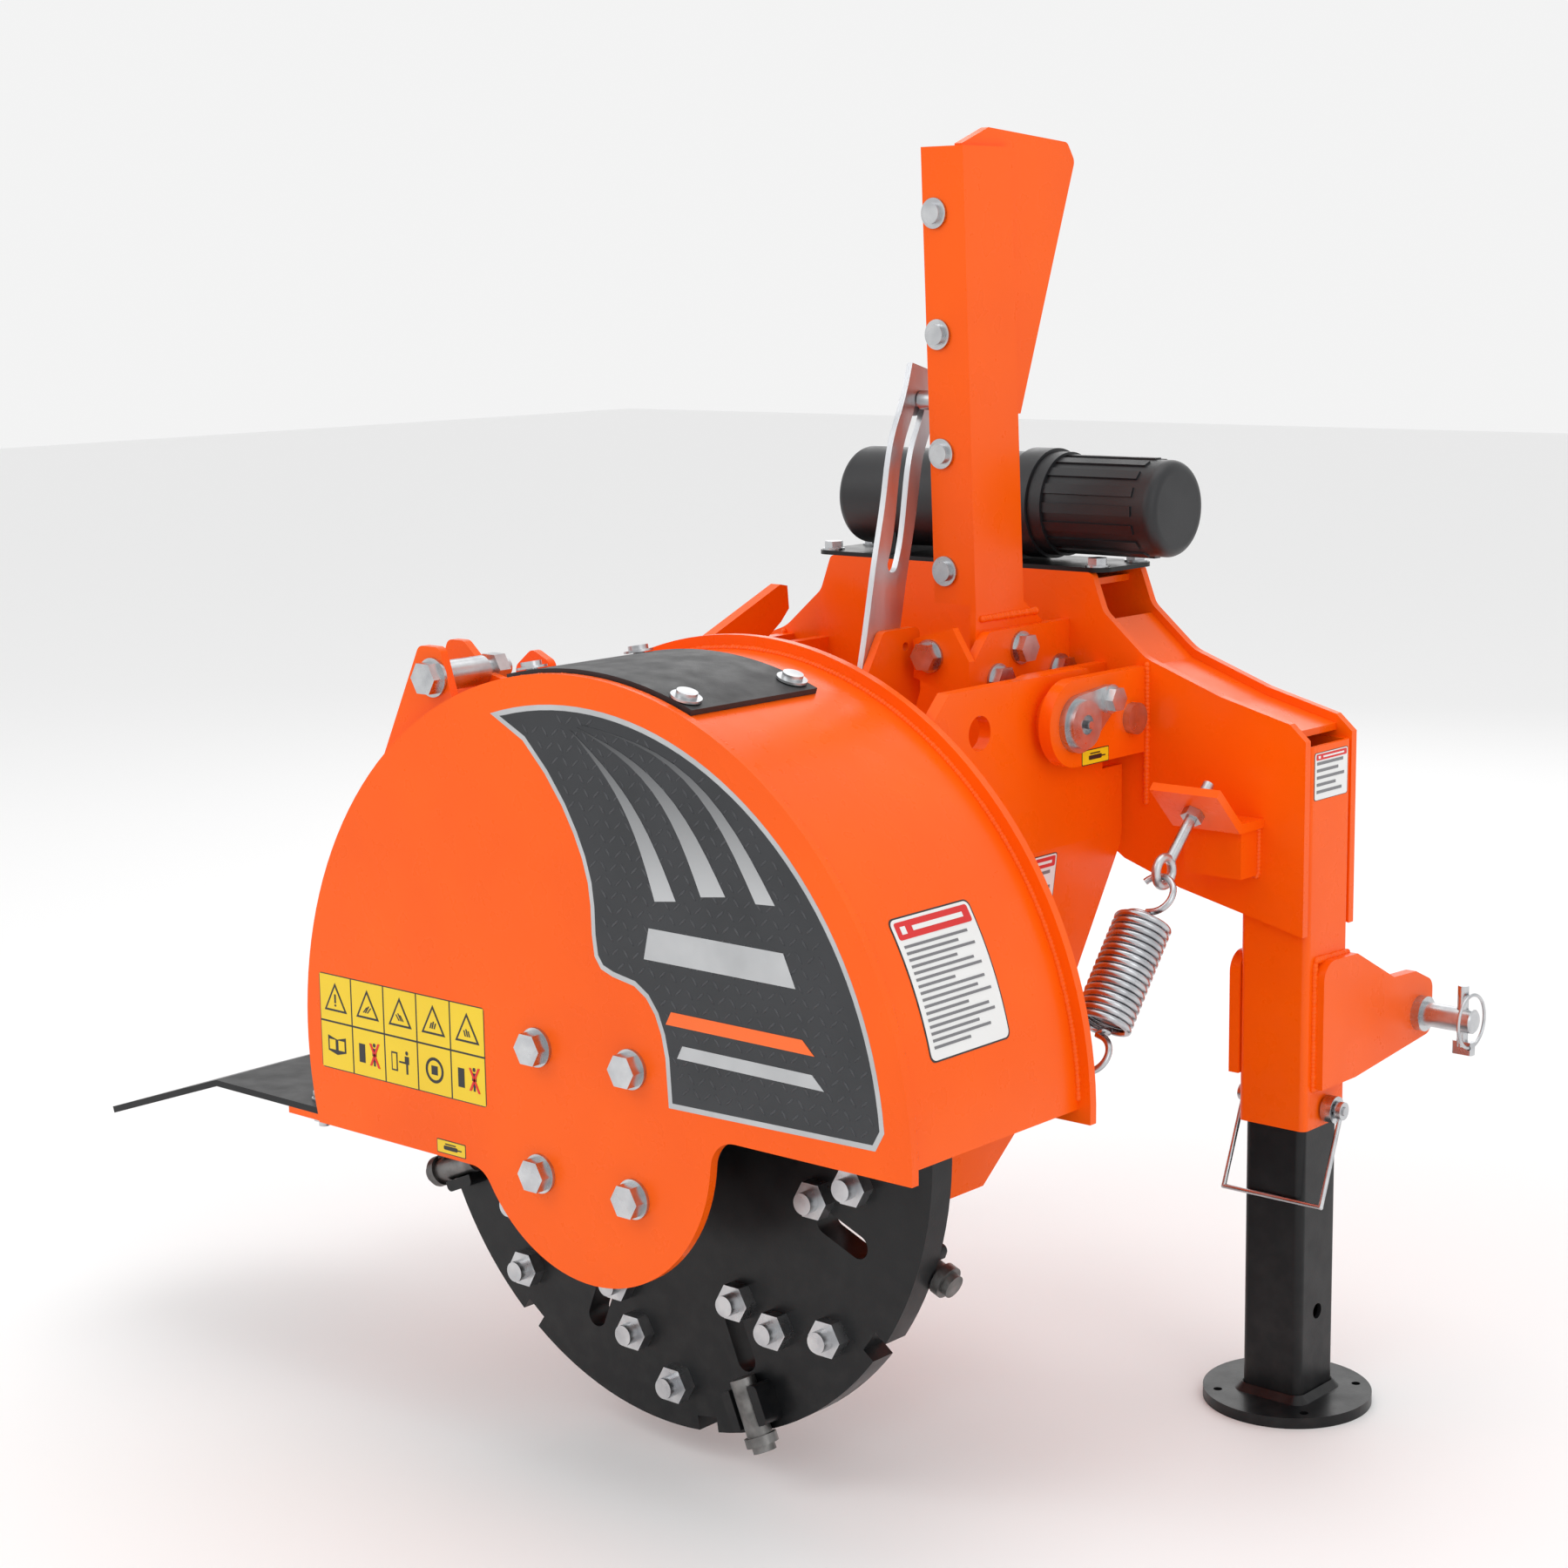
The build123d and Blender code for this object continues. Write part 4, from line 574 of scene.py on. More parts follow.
@dataclass
class Sheet:
    """A printed label made of thin closed shapes, laid on a surface by a lift function."""

    name: str
    body: Body
    lift: Lift
    finishes: list[Finish] = field(default_factory=list)
    verts: list[Vector] = field(default_factory=list)
    faces: list[tuple[int, ...]] = field(default_factory=list)
    marks: list[int] = field(default_factory=list)

    def mark(self, finish: Finish) -> int:
        """Returns the slot number of a finish, adding it if new."""
        if finish not in self.finishes:
            self.finishes.append(finish)
        return self.finishes.index(finish)

    def prism(self, outline: Sequence[Point], tops: Sequence[tuple[int, ...]], finish: Finish, low: float,
              high: float) -> None:
        """Adds a closed thin prism.

        Args:
            outline: The corners in order round the shape.
            tops: The top faces, as indices into the outline.
            finish: Its finish.
            low: Height of its underside over the surface.
            high: Height of its top.
        """
        start, count, slot = len(self.verts), len(outline), self.mark(finish)
        self.verts += [self.lift(u, v, high) for u, v in outline] + [self.lift(u, v, low) for u, v in outline]
        new = [tuple(start + i for i in face) for face in tops]
        new += [tuple(start + count + i for i in reversed(face)) for face in tops]
        new += [(start + i, start + count + i, start + count + (i + 1) % count, start + (i + 1) % count)
                for i in range(count)]
        self.faces += new
        self.marks += [slot] * len(new)

    def polygon(self, outline: Sequence[Point], finish: Finish, layer: int) -> None:
        """Adds a flat shape with any outline on a numbered layer."""
        flat = [Vector((u, v, 0)) for u, v in outline]
        tops = [tuple(face) for face in tessellate_polygon([flat])]
        self.prism(outline, tops, finish, LAYER * layer * 0.5, LAYER * (layer + 1))

    def strip(self, columns: Sequence[tuple[float, float, float]], finish: Finish, layer: int) -> None:
        """Adds a shape given as columns (across, low, high), which may follow a curved surface."""
        count = len(columns)
        outline = [(u, low) for u, low, _ in columns] + [(u, high) for u, _, high in reversed(columns)]
        tops = [(i, i + 1, 2 * count - 2 - i, 2 * count - 1 - i) for i in range(count - 1)]
        self.prism(outline, tops, finish, LAYER * layer * 0.5, LAYER * (layer + 1))

    def bar(self, u: Point, v: Point, finish: Finish, layer: int, corner: float = 0.0, steps: int = 12) -> None:
        """Adds a rectangle, with rounded corners if a corner radius is given."""
        cuts = [u[0] + (u[1] - u[0]) * i / steps for i in range(steps + 1)]
        if corner:
            bends = [corner * (1 - math.cos(math.pi / 8 * i)) for i in range(1, 5)]
            cuts = sorted({*cuts, *(u[0] + b for b in bends), *(u[1] - b for b in bends)})
        columns = []
        for cut in cuts:
            edge = min(cut - u[0], u[1] - cut)
            rise = corner - math.sqrt(max(corner ** 2 - (corner - min(edge, corner)) ** 2, 0.0)) if corner else 0.0
            columns.append((cut, v[0] + min(rise, corner * 0.98), v[1] - min(rise, corner * 0.98)))
        self.strip(columns, finish, layer)

    def ring(self, centre: Point, outer: float, inner: float, finish: Finish, layer: int, sides: int = 24) -> None:
        """Adds a flat ring as a row of short closed blocks."""
        for i in range(sides):
            a, b = (2 * math.pi * (i + k * 1.02) / sides for k in (0, 1))
            corners = [(centre[0] + r * math.cos(t), centre[1] + r * math.sin(t))
                       for r, t in ((inner, a), (outer, a), (outer, b), (inner, b))]
            self.polygon(corners, finish, layer)

    def triangle_frame(self, centre: Point, size: float, line: float, outer: Finish, inner: Finish,
                       layer: int) -> None:
        """Adds a warning triangle: a triangle with a smaller one over it."""
        for reach, finish, level in ((size, outer, layer), (size - 2 * line, inner, layer + 1)):
            self.polygon([(centre[0] + reach * math.cos(t), centre[1] + reach * math.sin(t))
                          for t in (math.pi / 2, math.pi * 7 / 6, math.pi * 11 / 6)], finish, level)

    def make(self) -> bpy.types.Object:
        """Builds the label's object and rides it on its body.

        Returns:
            The label.
        """
        mesh = bpy.data.meshes.new(self.name)
        mesh.from_pydata([tuple(v) for v in self.verts], [], self.faces)
        mesh.update()
        face_outwards(mesh)
        for finish in self.finishes:
            mesh.materials.append(finish.material())
        mesh.polygons.foreach_set("material_index", self.marks)
        piece = bpy.data.objects.new(self.name, mesh)
        bpy.context.scene.collection.objects.link(piece)
        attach(piece, self.body.value)
        log.info("label %s: %d faces", self.name, len(mesh.polygons))
        return piece


def inset(outline: Sequence[Point], distance: float) -> list[Point]:
    """Moves every corner of an outline inwards.

    Args:
        outline: The corners, counter-clockwise.
        distance: How far each side moves.

    Returns:
        The smaller outline.
    """
    moved = []
    for i, here in enumerate(outline):
        before, after = Vector(outline[i - 1]), Vector(outline[(i + 1) % len(outline)])
        first, second = (Vector(here) - before).normalized(), (after - Vector(here)).normalized()
        normal = (Vector((-first.y, first.x)) + Vector((-second.y, second.x))).normalized()
        reach = distance / max(normal.dot(Vector((-first.y, first.x))), 0.4)
        moved.append(tuple(Vector(here) + normal * reach))
    return moved


def inside(point: Point, outline: Sequence[Point]) -> bool:
    """Says whether a point lies inside an outline."""
    hit = False
    for i, (x1, y1) in enumerate(outline):
        x0, y0 = outline[i - 1]
        if (y0 > point[1]) != (y1 > point[1]) and point[0] < (x1 - x0) * (point[1] - y0) / (y1 - y0) + x0:
            hit = not hit
    return hit


def arc(centre: Point, radius: float, start: float, end: float, steps: int) -> list[Point]:
    """Returns points along an arc, its angles in degrees."""
    angles = [math.radians(start + (end - start) * i / steps) for i in range(steps + 1)]
    return [(centre[0] + radius * math.cos(a), centre[1] + radius * math.sin(a)) for a in angles]


# ------------------------------------------------------------------ sub-assemblies


@dataclass
class HoodGraphics:
    """The printed panels on the front of the hood and on its round skin."""

    centre: Point = (-0.004, 0.022)
    skin_radius: float = 0.346
    sweep_radius: float = 0.323
    sweep_angles: Point = (2.3, 107.0)
    sweep_corner: Point = (0.309, 0.0344)
    border: float = 0.0045
    inner_side: tuple[Point, ...] = (
        (-0.0606, 0.3118), (-0.036, 0.287), (-0.017, 0.2623), (-0.0045, 0.241), (0.0044, 0.2218), (0.0105, 0.202),
        (0.0129, 0.1833), (0.0135, 0.16), (0.016, 0.142), (0.023, 0.1325), (0.036, 0.128), (0.0599, 0.124),
        (0.073, 0.116), (0.0824, 0.1039), (0.089, 0.088), (0.0929, 0.0698), (0.0955, 0.0293))
    streaks: tuple[tuple[Point, Point, Point, float], ...] = (
        ((-0.0045, 0.3256), (0.0854, 0.1966), (0.1082, 0.1996), 0.014),
        ((0.0026, 0.3284), (0.1354, 0.2067), (0.1612, 0.2101), 0.024),
        ((0.0086, 0.331), (0.1928, 0.2088), (0.2124, 0.21), 0.034))

    def build(self) -> None:
        """Builds every printed panel of the hood."""
        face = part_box("hood_front_plate")[0].y
        front: Lift = lambda u, v, h: Vector((u, face - h, v))
        self.sweep(front)
        self.safety_signs(front)
        self.grease_mark(front)
        self.skin_label()

    def sweep(self, front: Lift) -> None:
        """Builds the charcoal sweep with its pale border, streaks and tread pattern."""
        rim = arc(self.centre, self.sweep_radius, *self.sweep_angles, 40)[1:]
        outline = [self.sweep_corner, *rim, *self.inner_side]
        sheet = Sheet("hood_sweep_print", Body.HEAD, front)
        sheet.polygon(outline, SILVER_PRINT, 0)
        field_line = inset(outline, self.border)
        sheet.polygon(field_line, CHARCOAL, 1)
        for tip, left, right, bow in self.streaks:
            sheet.polygon(self.streak(Vector(tip), Vector(left), Vector(right), bow), STREAK_PRINT, 3)
        for base, finish in ((0.148, SILVER_PRINT), (0.098, ORANGE_PRINT), (0.072, SILVER_PRINT)):
            low, high = base, base + (0.026 if finish is SILVER_PRINT and base > 0.1 else 0.011)
            left, right = 0.072 + (0.148 - base) * 0.45, 0.232 + (0.148 - base) * 0.36
            sheet.polygon([(left, low), (right, low), (right - 0.012, high), (left + 0.006, high)], finish, 3)
        sheet.make()
        self.tread(inset(outline, self.border + 0.006), front)

    @staticmethod
    def streak(tip: Vector, left: Vector, right: Vector, bow: float) -> list[Point]:
        """Returns the outline of one bowed streak, from its tip down to its flat end."""
        def edge(end: Vector) -> list[Point]:
            """Returns one bowed edge."""
            along = end - tip
            side = Vector((-along.y, along.x)).normalized() * bow
            return [tuple(tip + along * (t / 12) + side * math.sin(math.pi * t / 12)) for t in range(1, 13)]
        return [tuple(tip), *edge(left), *reversed(edge(right))]

    @staticmethod
    def tread(outline: Sequence[Point], front: Lift) -> None:
        """Sets the raised-looking tread lozenges over the charcoal field."""
        pitch, points, turns = 0.0115, [], []
        for row in range(-4, 34):
            for column in range(-14, 32):
                place = (column * pitch + (row % 2) * pitch / 2, row * pitch)
                if inside(place, outline):
                    points.append(front(place[0], place[1], 2.3 * LAYER))
                    turns.append(math.radians(50 if (row + column) % 2 else -40))
        values = {"Length": 0.0052, "Width": 0.0011, "Thickness": 0.0001, "Material": CHARCOAL_TREAD.material()}
        piece = grow("hood_tread_print", [points], tread_tree(), values, turns)
        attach(piece, Body.HEAD.value)
        log.info("tread pattern: %d lozenges", len(points))

    def safety_signs(self, front: Lift) -> None:
        """Builds the yellow panel of plain safety symbols, two rows of five."""
        left, low, wide, high = -0.333, -0.0095, 0.2145, 0.087
        cell, half = wide / 5, high / 2
        sheet = Sheet("safety_sign_panel", Body.HEAD, front)
        sheet.bar((left, left + wide), (low, low + high), BLACK_PRINT, 0, corner=0.003)
        for column in range(5):
            for row in range(2):
                u, v = left + cell * column, low + half * row
                sheet.bar((u + 0.0009, u + cell - 0.0009), (v + 0.0009, v + half - 0.0009), YELLOW_PRINT, 1, steps=1)
                middle = (u + cell / 2, v + half / 2)
                if row:
                    sheet.triangle_frame((middle[0], middle[1] - 0.003), 0.0175, 0.002, BLACK_PRINT, YELLOW_PRINT, 2)
                    self.warning_glyph(sheet, column, (middle[0], middle[1] - 0.002))
                else:
                    self.order_glyph(sheet, column, middle)
        sheet.make()

    @staticmethod
    def warning_glyph(sheet: Sheet, kind: int, at: Point) -> None:
        """Adds a small plain mark inside a warning triangle."""
        u, v = at
        if kind == 0:
            sheet.bar((u - 0.0011, u + 0.0011), (v - 0.002, v + 0.006), BLACK_PRINT, 4, steps=1)
            sheet.bar((u - 0.0011, u + 0.0011), (v - 0.005, v - 0.0032), BLACK_PRINT, 4, steps=1)
            return
        tilt = (0.6, -0.5, 0.25, -0.2)[kind - 1]
        for k in (-1, 0, 1):
            du = k * 0.0026
            sheet.polygon([(u + du - 0.0008 - tilt * 0.004, v - 0.0045), (u + du + 0.0008 - tilt * 0.004, v - 0.0045),
                           (u + du + 0.0008 + tilt * 0.004, v + 0.002 - abs(du) * 0.5),
                           (u + du - 0.0008 + tilt * 0.004, v + 0.002 - abs(du) * 0.5)], BLACK_PRINT, 4)

    @staticmethod
    def order_glyph(sheet: Sheet, kind: int, at: Point) -> None:
        """Adds a plain symbol to a cell of the lower row."""
        u, v = at
        if kind == 0:
            for side in (-1, 1):
                page, middle = u + side * 0.012, u + side * 0.006
                corners = [(u, v - 0.008), (page, v - 0.005), (page, v + 0.009), (u, v + 0.006)]
                sheet.polygon(corners[::side], BLACK_PRINT, 2)
                sheet.bar((middle - 0.004, middle + 0.004), (v - 0.0035, v + 0.0055), YELLOW_PRINT, 3, steps=1)
        elif kind == 3:
            sheet.ring(at, 0.0115, 0.0088, BLACK_PRINT, 2)
            sheet.bar((u - 0.004, u + 0.004), (v - 0.004, v + 0.004), BLACK_PRINT, 2, steps=1)
        else:
            sheet.bar((u - 0.013, u - 0.005), (v - 0.009, v + 0.008), BLACK_PRINT, 2, steps=1)
            if kind == 2:
                sheet.bar((u - 0.0115, u - 0.0065), (v - 0.0075, v + 0.0065), YELLOW_PRINT, 3, steps=1)
                sheet.bar((u - 0.003, u + 0.005), (v - 0.0008, v + 0.0008), BLACK_PRINT, 2, steps=1)
            sheet.bar((u + 0.006, u + 0.0085), (v - 0.01, v - 0.001), BLACK_PRINT, 2, steps=1)
            sheet.bar((u + 0.0045, u + 0.0100), (v - 0.001, v + 0.006), BLACK_PRINT, 2, steps=1)
            sheet.bar((u + 0.0055, u + 0.0090), (v + 0.0072, v + 0.0108), BLACK_PRINT, 2, corner=0.0015, steps=2)
            if kind != 2:
                for lean in (-1, 1):
                    foot, head = v - 0.010 * lean, v + 0.011 * lean
                    stroke = [(u + 0.001, foot), (u + 0.0035, foot), (u + 0.0145, head), (u + 0.012, head)]
                    sheet.polygon(stroke[::lean], RED_PRINT, 4)

    @staticmethod
    def grease_mark(front: Lift) -> None:
        """Builds the small yellow grease-point label low on the front plate."""
        sheet = Sheet("grease_mark_hood", Body.HEAD, front)
        small_yellow(sheet, (-0.1835, -0.0605), 0.0365, 0.0125)
        sheet.make()

    def skin_label(self) -> None:
        """Builds the white label that follows the round skin of the hood."""
        front_edge = -0.363
        skin: Lift = lambda u, v, h: Vector((
            self.centre[0] + (self.skin_radius + 0.0001 + h) * math.cos(v / self.skin_radius),
            front_edge + u,
            self.centre[1] + (self.skin_radius + 0.0001 + h) * math.sin(v / self.skin_radius)))
        swapped: Lift = lambda u, v, h: skin(v, u, h)
        sheet = Sheet("notice_label_hood", Body.HEAD, swapped)
        low, high = (math.radians(a) * self.skin_radius for a in (12.7, 31.5))
        notice(sheet, (low, high), (0.0, 0.099), rows=16, along_u=True)
        sheet.make()


def small_yellow(sheet: Sheet, corner: Point, wide: float, high: float) -> None:
    """Adds a small yellow label with a plain grease-gun shape.

    Args:
        sheet: The sheet to draw on.
        corner: Its lower left corner.
        wide: Its width.
        high: Its height.
    """
    u, v = corner
    sheet.bar((u, u + wide), (v, v + high), BLACK_PRINT, 0, corner=0.001)
    sheet.bar((u + 0.0008, u + wide - 0.0008), (v + 0.0008, v + high - 0.0008), YELLOW_PRINT, 1, corner=0.0008)
    sheet.bar((u + wide * 0.25, u + wide * 0.72), (v + high * 0.32, v + high * 0.6), BLACK_PRINT, 3, corner=0.001)
    sheet.bar((u + wide * 0.72, u + wide * 0.86), (v + high * 0.42, v + high * 0.5), BLACK_PRINT, 3, steps=1)
    sheet.bar((u + wide * 0.3, u + wide * 0.66), (v + high * 0.68, v + high * 0.76), BLACK_PRINT, 3, steps=1)


def notice(sheet: Sheet, u: Point, v: Point, rows: int, along_u: bool = False) -> None:
    """Adds a white notice: dark edge, red head, a small triangle and grey bars where words would be.

    Args:
        sheet: The sheet to draw on.
        u: Its span across the sheet's first direction.
        v: Its span across the second.
        rows: How many grey bars it has.
        along_u: True if its height runs along the first direction.
    """
    def span(a: Point, b: Point, finish: Finish, layer: int, corner: float = 0.0) -> None:
        """Adds a bar given across the notice and up it, each from 0 to 1."""
        across, up = ((v, u) if along_u else (u, v))
        one = (across[0] + (across[1] - across[0]) * a[0], across[0] + (across[1] - across[0]) * a[1])
        two = (up[0] + (up[1] - up[0]) * b[0], up[0] + (up[1] - up[0]) * b[1])
        sheet.bar(*((two, one) if along_u else (one, two)), finish, layer, corner=corner, steps=14)
    small = min(u[1] - u[0], v[1] - v[0]) * 0.06
    span((0, 1), (0, 1), BLACK_PRINT, 0, small)
    span((0.015, 0.985), (0.012, 0.988), WHITE_PRINT, 1, small * 0.9)
    span((0.05, 0.95), (0.84, 0.965), RED_PRINT, 3, small * 0.4)
    span((0.24, 0.86), (0.885, 0.92), WHITE_PRINT, 5)
    span((0.1, 0.16), (0.875, 0.93), WHITE_PRINT, 5)
    lengths = (0.86, 0.7, 0.9, 0.62, 0.82, 0.9, 0.5, 0.88, 0.76, 0.92, 0.58, 0.84, 0.9, 0.66, 0.8, 0.5, 0.88, 0.72)
    pitch = 0.74 / rows
    for i in range(rows):
        top = 0.8 - pitch * i
        span((0.07, 0.07 + lengths[i % len(lengths)] * 0.9), (top - pitch * 0.42, top), GREY_PRINT, 3)


@dataclass
class FrameLabels:
    """The small labels on the leg tube, the pivot bracket and the side panel."""

    tube_side: float = 0.374
    bracket_side: float = 0.212
    bend: float = 0.190  # height at which the side panel starts to lean in
    lean: float = 40.0 / 300.0

    def build(self) -> None:
        """Builds each label on its flat face."""
        side: Lift = lambda u, v, h: Vector((self.tube_side + h, u, v))
        tube = Sheet("notice_label_tube", Body.FRAME, side)
        notice(tube, (0.1125, 0.1675), (0.233, 0.2745), rows=5)
        tube.make()
        bracket: Lift = lambda u, v, h: Vector((self.bracket_side + h, u, v))
        mark = Sheet("grease_mark_bracket", Body.FRAME, bracket)
        small_yellow(mark, (0.0, 0.2625), 0.040, 0.0135)
        mark.make()
        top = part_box("side_panel_right")[1].x
        panel: Lift = lambda u, v, h: Vector((top + h - self.lean * (self.bend - v), u, v + h * self.lean))
        notice_sheet = Sheet("notice_label_panel", Body.HEAD, panel)
        notice(notice_sheet, (-0.062, -0.004), (0.112, 0.186), rows=8)
        notice_sheet.make()


@dataclass
class CoilSpring:
    """A tension spring of close turns with an open hook at each end."""

    side: int
    eye: Vector = field(default_factory=lambda: mm(300.0, -4.0, 182.0))
    lug: Vector = field(default_factory=lambda: mm(300.0, -123.0, 30.0))
    coil: float = 0.022
    wire: float = 0.006
    body: float = 0.112
    hook: float = 0.017
    eye_gap: float = 0.0047
    lug_gap: float = 0.004
    turns: int = 17
    hook_reach: float = 0.02

    def path(self) -> list[Vector]:
        """Returns the wire's centre line from the upper hook's tip to the lower hook's tip."""
        flip = Vector((self.side, 1, 1))
        start, end = self.eye * flip, self.lug * flip
        axis = (end - start).normalized()
        length = (end - start).length
        level = Vector((1, 0, 0))
        normal = axis.cross(level)
        margin = (length - self.body) / 2 + self.wire / 2
        points = []
        upper = start + axis * (self.eye_gap + self.hook)
        lower = end - axis * (self.lug_gap + self.hook)
        for i in range(25):
            angle = math.radians(-55 + 235 * i / 24)
            points.append(upper - axis * self.hook * math.cos(angle) + level * self.hook * math.sin(angle))
        first, last = start + axis * margin, end - axis * margin
        points.append(upper + axis * (self.hook + 0.0015))
        steps = self.turns * 28
        for i in range(steps + 1):
            share = i / steps
            spin = 2 * math.pi * self.turns * share
            ease = min(1.0, 0.12 + share * self.turns * 1.4, 0.12 + (1 - share) * self.turns * 1.4)
            reach = self.coil * ease
            points.append(first.lerp(last, share) + (level * math.cos(spin) + normal * math.sin(spin)) * reach)
        points.append(lower - axis * (self.hook + 0.0015))
        for i in range(25):
            angle = math.radians(180 - 235 * i / 24)
            points.append(lower + axis * self.hook * math.cos(angle) + level * self.hook * math.sin(angle))
        return points

    def build(self, tree: bpy.types.NodeTree) -> None:
        """Builds the spring along a fixed line from frame to head and stands it for its solid.

        Args:
            tree: The wire sweep tree.
        """
        name = "right" if self.side > 0 else "left"
        values = {"Wire Radius": self.wire / 2, "Sides": 12, "Material": SPRING.material()}
        piece = grow(f"coil_spring_{name}", [self.path()], tree, values)
        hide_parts(f"spring_{name}")
        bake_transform(piece)
        log.info("spring %s: %d faces", name, len(piece.data.polygons))


@dataclass
class WeldBeads:
    """The fillet welds that show along the plate joints."""

    ripple: float = 0.0034
    step: float = 0.0034
    hood_centre: Point = (-0.004, 0.022)
    hood_angles: Point = (2.0, 191.0)
    rear_radius: float = 0.3462
    front_radius: float = 0.3448
    sunk: float = 0.0012  # how far the front bead lies inside the corner
    # The rest are in millimetres. How far each joint lies from the middle plane:
    panel: float = 186.0
    wing: float = 112.5
    mast: float = 118.5
    bracket: float = 212.5
    spring: float = 300.0
    tube: float = 374.3
    # Where two joints lie along the shaft, then heights:
    panel_end: float = -176.5
    bridge: float = 97.5
    over_lug: float = 385.5
    shelf_bead: tuple[float, float, float] = (29.0, 206.0, 166.0)  # half width, top and foot

    def build(self) -> None:
        """Builds the beads of the head and of the frame, one mesh each."""
        tree = bead_tree()
        for body, lines in ((Body.HEAD, self.head_lines()), (Body.FRAME, self.frame_lines())):
            values = {"Ripple Radius": self.ripple, "Ripple Step": self.step, "Seed": 7,
                      "Material": ORANGE.material()}
            piece = grow(f"weld_beads_{body.value}", lines, tree, values)
            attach(piece, body.value)
            log.info("welds on %s: %d faces", body.value, len(piece.data.polygons))

    def head_lines(self) -> list[list[Vector]]:
        """Returns the joints of the hood skin, and of the side panels with the rear plate."""
        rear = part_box("hood_rear_plate")[0].y
        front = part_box("hood_front_plate")[1].y
        lines = [[Vector((x, rear, z)) for x, z in arc(self.hood_centre, self.rear_radius, *self.hood_angles, 90)]]
        lines.append([Vector((x, front - self.sunk, z))
                      for x, z in arc(self.hood_centre, self.front_radius, *self.hood_angles, 90)])
        for side in (1, -1):
            lines.append([mm(side * self.panel, self.panel_end, z) for z in (20, 180)])
        return lines

    def frame_lines(self) -> list[list[Vector]]:
        """Returns the joints of the mast, the brackets, the spring shelves and the hitch plates."""
        lines = [[mm(self.wing, 24.5, 780), mm(self.wing, 33.0, 610)],
                 [mm(self.mast, -18, self.over_lug), mm(self.mast, 60, self.over_lug)]]
        half, top, foot = self.shelf_bead
        for side in (1, -1):
            lines.append([mm(side * self.bracket, self.bridge, z) for z in (218, 340)])
            lines.append([mm(side * self.spring + a, self.bridge, b)
                          for a, b in ((-half, top), (-half, foot), (half, foot), (half, top))])
            lines.append([mm(side * self.tube, 120, 92.3), mm(side * self.tube, 172, 90.3)])
            lines.append([mm(side * self.tube, y, -22.3) for y in (118, 172)])
            lines.append([mm(side * self.tube, 118, z) for z in (-18, 88)])
        return lines


@dataclass(frozen=True)
class Softbox:
    """A large soft lamp."""

    name: str
    place: Colour
    aim: Colour
    size: Point
    power: float

    def build(self) -> None:
        """Adds the lamp, turned to its aim."""
        data = bpy.data.lights.new(self.name, "AREA")
        data.shape = "RECTANGLE"
        data.size, data.size_y = self.size
        data.energy = self.power
        lamp = bpy.data.objects.new(self.name, data)
        lamp.location = self.place
        lamp.rotation_mode = "QUATERNION"
        lamp.rotation_quaternion = (Vector(self.aim) - Vector(self.place)).to_track_quat("-Z", "Y")
        bpy.context.scene.collection.objects.link(lamp)


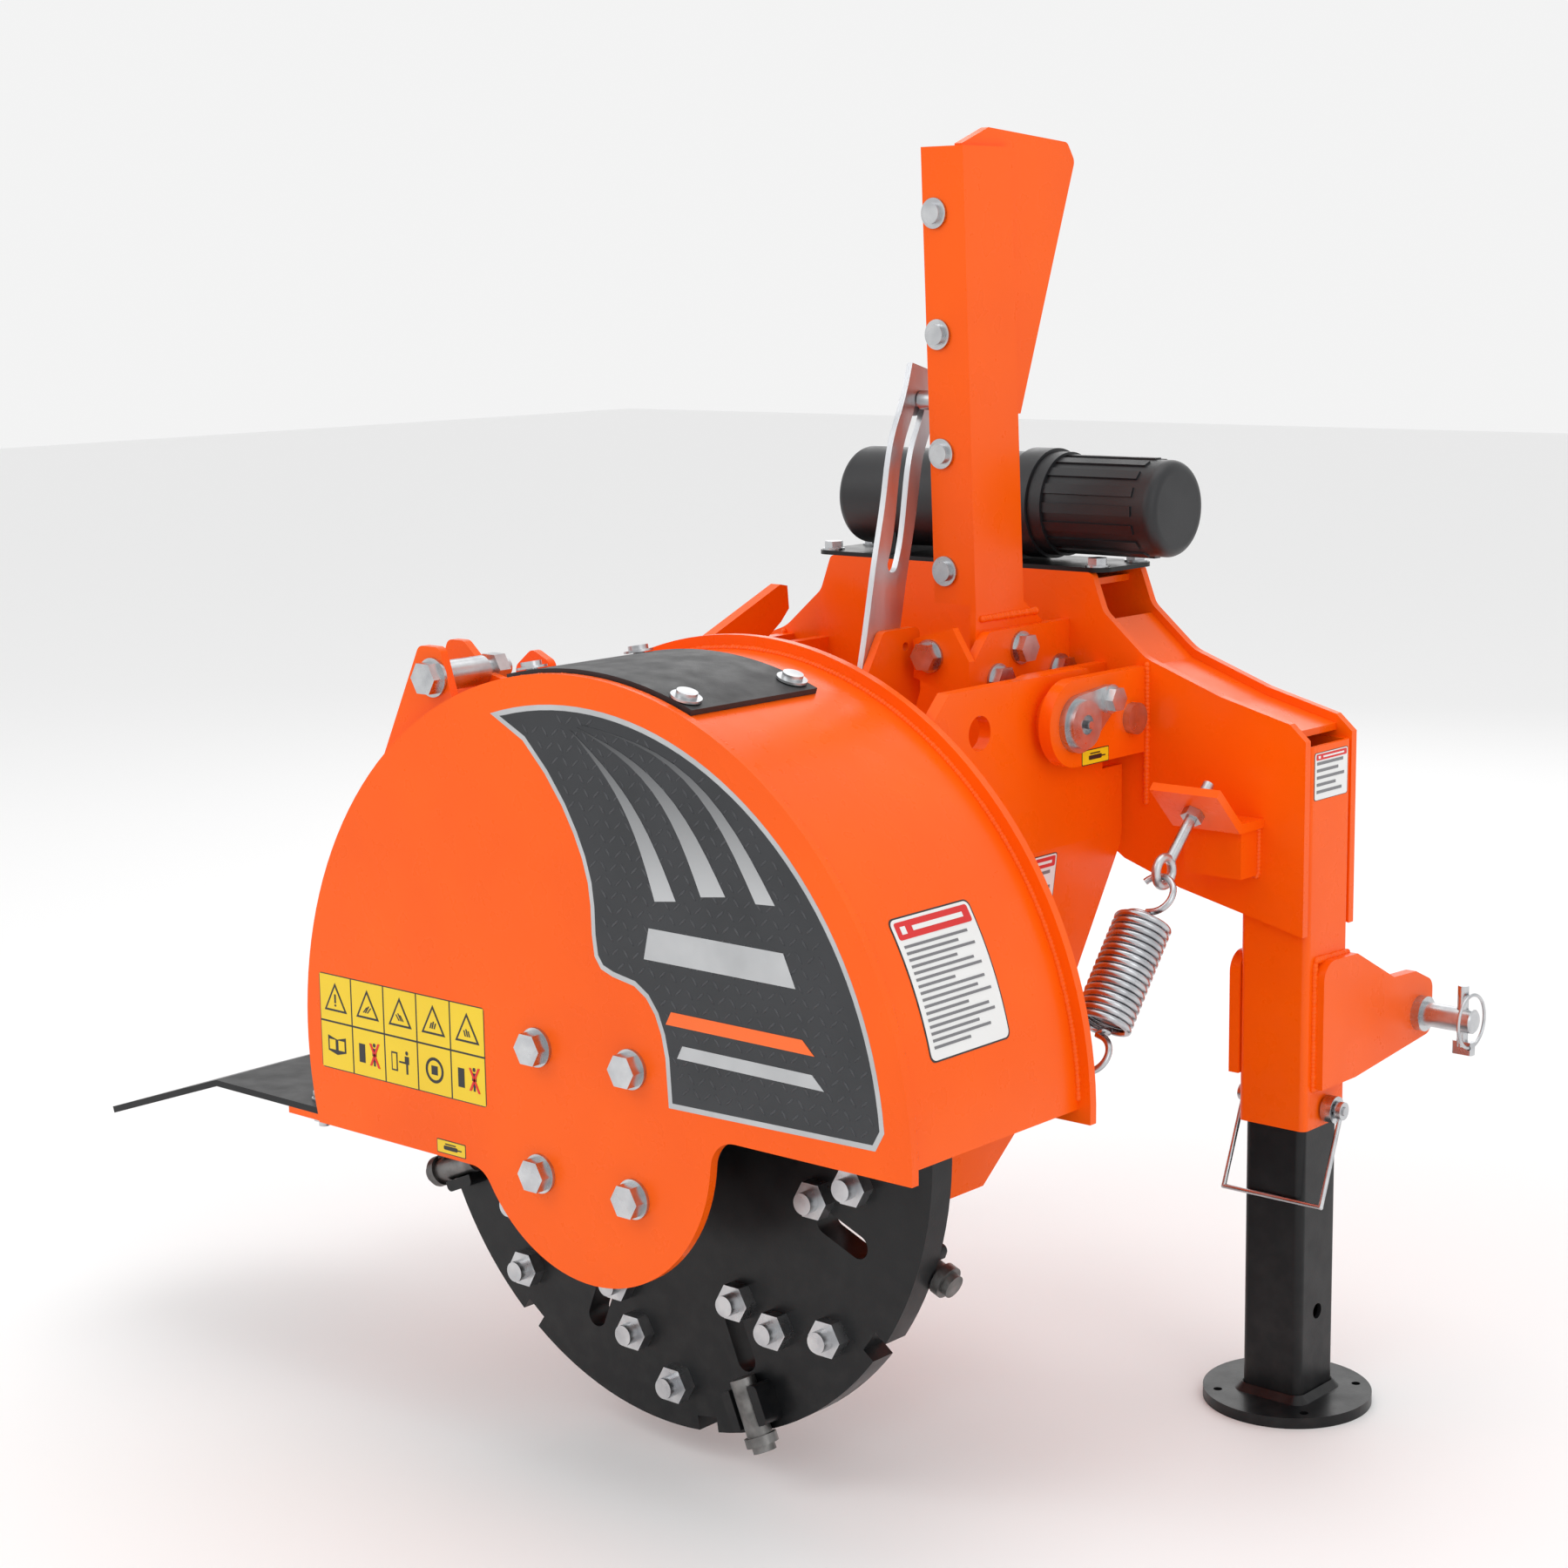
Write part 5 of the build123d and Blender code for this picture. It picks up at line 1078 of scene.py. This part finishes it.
@dataclass
class Studio:
    """The pale floor, the soft lamps and the camera."""

    ground: float = -0.32
    eye: Colour = (1.6481, -2.0153, 0.6846)
    heading: float = 41.417
    down: float = 9.984
    roll: float = -0.871
    lens: float = 66.67
    floor_half: float = 14.0

    def build(self) -> None:
        """Builds the camera, the floor, the sky and the lamps."""
        self.camera()
        self.floor()
        world = bpy.data.worlds.new("pale_room")
        world.use_nodes = True
        world.node_tree.nodes["Background"].inputs["Color"].default_value = (1, 1, 1, 1)
        world.node_tree.nodes["Background"].inputs["Strength"].default_value = 0.9
        bpy.context.scene.world = world
        centre = (0.0, -0.1, 0.2)
        for lamp in (
            Softbox("key_softbox", (-1.4, -3.0, 2.6), centre, (2.2, 2.2), 26.0),
            Softbox("right_softbox", (3.2, -1.0, 1.6), centre, (1.6, 2.4), 13.0),
            Softbox("top_softbox", (0.2, 0.4, 3.2), centre, (2.6, 2.6), 22.0),
            Softbox("rear_softbox", (-1.6, 2.8, 1.8), centre, (2.0, 2.0), 14.0),
        ):
            lamp.build()

    def camera(self) -> None:
        """Adds the camera at its solved place and turn."""
        a, e, roll = (math.radians(v) for v in (self.heading, self.down, self.roll))
        ahead = Vector((-math.sin(a) * math.cos(e), math.cos(a) * math.cos(e), -math.sin(e)))
        level = Vector((math.cos(a), math.sin(a), 0))
        rise = level.cross(ahead)
        right = level * math.cos(roll) + rise * math.sin(roll)
        up = -level * math.sin(roll) + rise * math.cos(roll)
        data = bpy.data.cameras.new("camera")
        data.lens, data.sensor_width = self.lens, 36.0
        data.clip_end = 60.0
        camera = bpy.data.objects.new("camera", data)
        camera.matrix_world = Matrix((right, up, -ahead)).transposed().to_4x4()
        camera.location = self.eye
        bpy.context.scene.collection.objects.link(camera)
        bpy.context.scene.camera = camera

    def floor(self) -> None:
        """Adds the wide pale floor."""
        mesh = bpy.data.meshes.new("studio_floor")
        half = self.floor_half
        corners = ((-half, -half), (half, -half), (half, half), (-half, half))
        mesh.from_pydata([(x, y, self.ground) for x, y in corners], [], [(0, 1, 2, 3)])
        floor = bpy.data.objects.new("studio_floor", mesh)
        paint = bpy.data.materials.new("pale_floor")
        paint.use_nodes = True
        paint.node_tree.nodes["Principled BSDF"].inputs["Base Color"].default_value = (0.9, 0.9, 0.9, 1)
        paint.node_tree.nodes["Principled BSDF"].inputs["Roughness"].default_value = 0.75
        mesh.materials.append(paint)
        bpy.context.scene.collection.objects.link(floor)


def main() -> None:
    """Builds the whole scene in order."""
    logging.basicConfig(level=logging.INFO, format="%(name)s: %(message)s", stream=sys.stdout)
    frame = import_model()
    bpy.context.scene.view_settings.view_transform = "Standard"
    Studio().build()
    dress_nodes(frame)
    wire = wire_tree()
    for side in (1, -1):
        CoilSpring(side).build(wire)
    WeldBeads().build()
    HoodGraphics().build()
    FrameLabels().build()


if __name__ == "__main__":
    main()
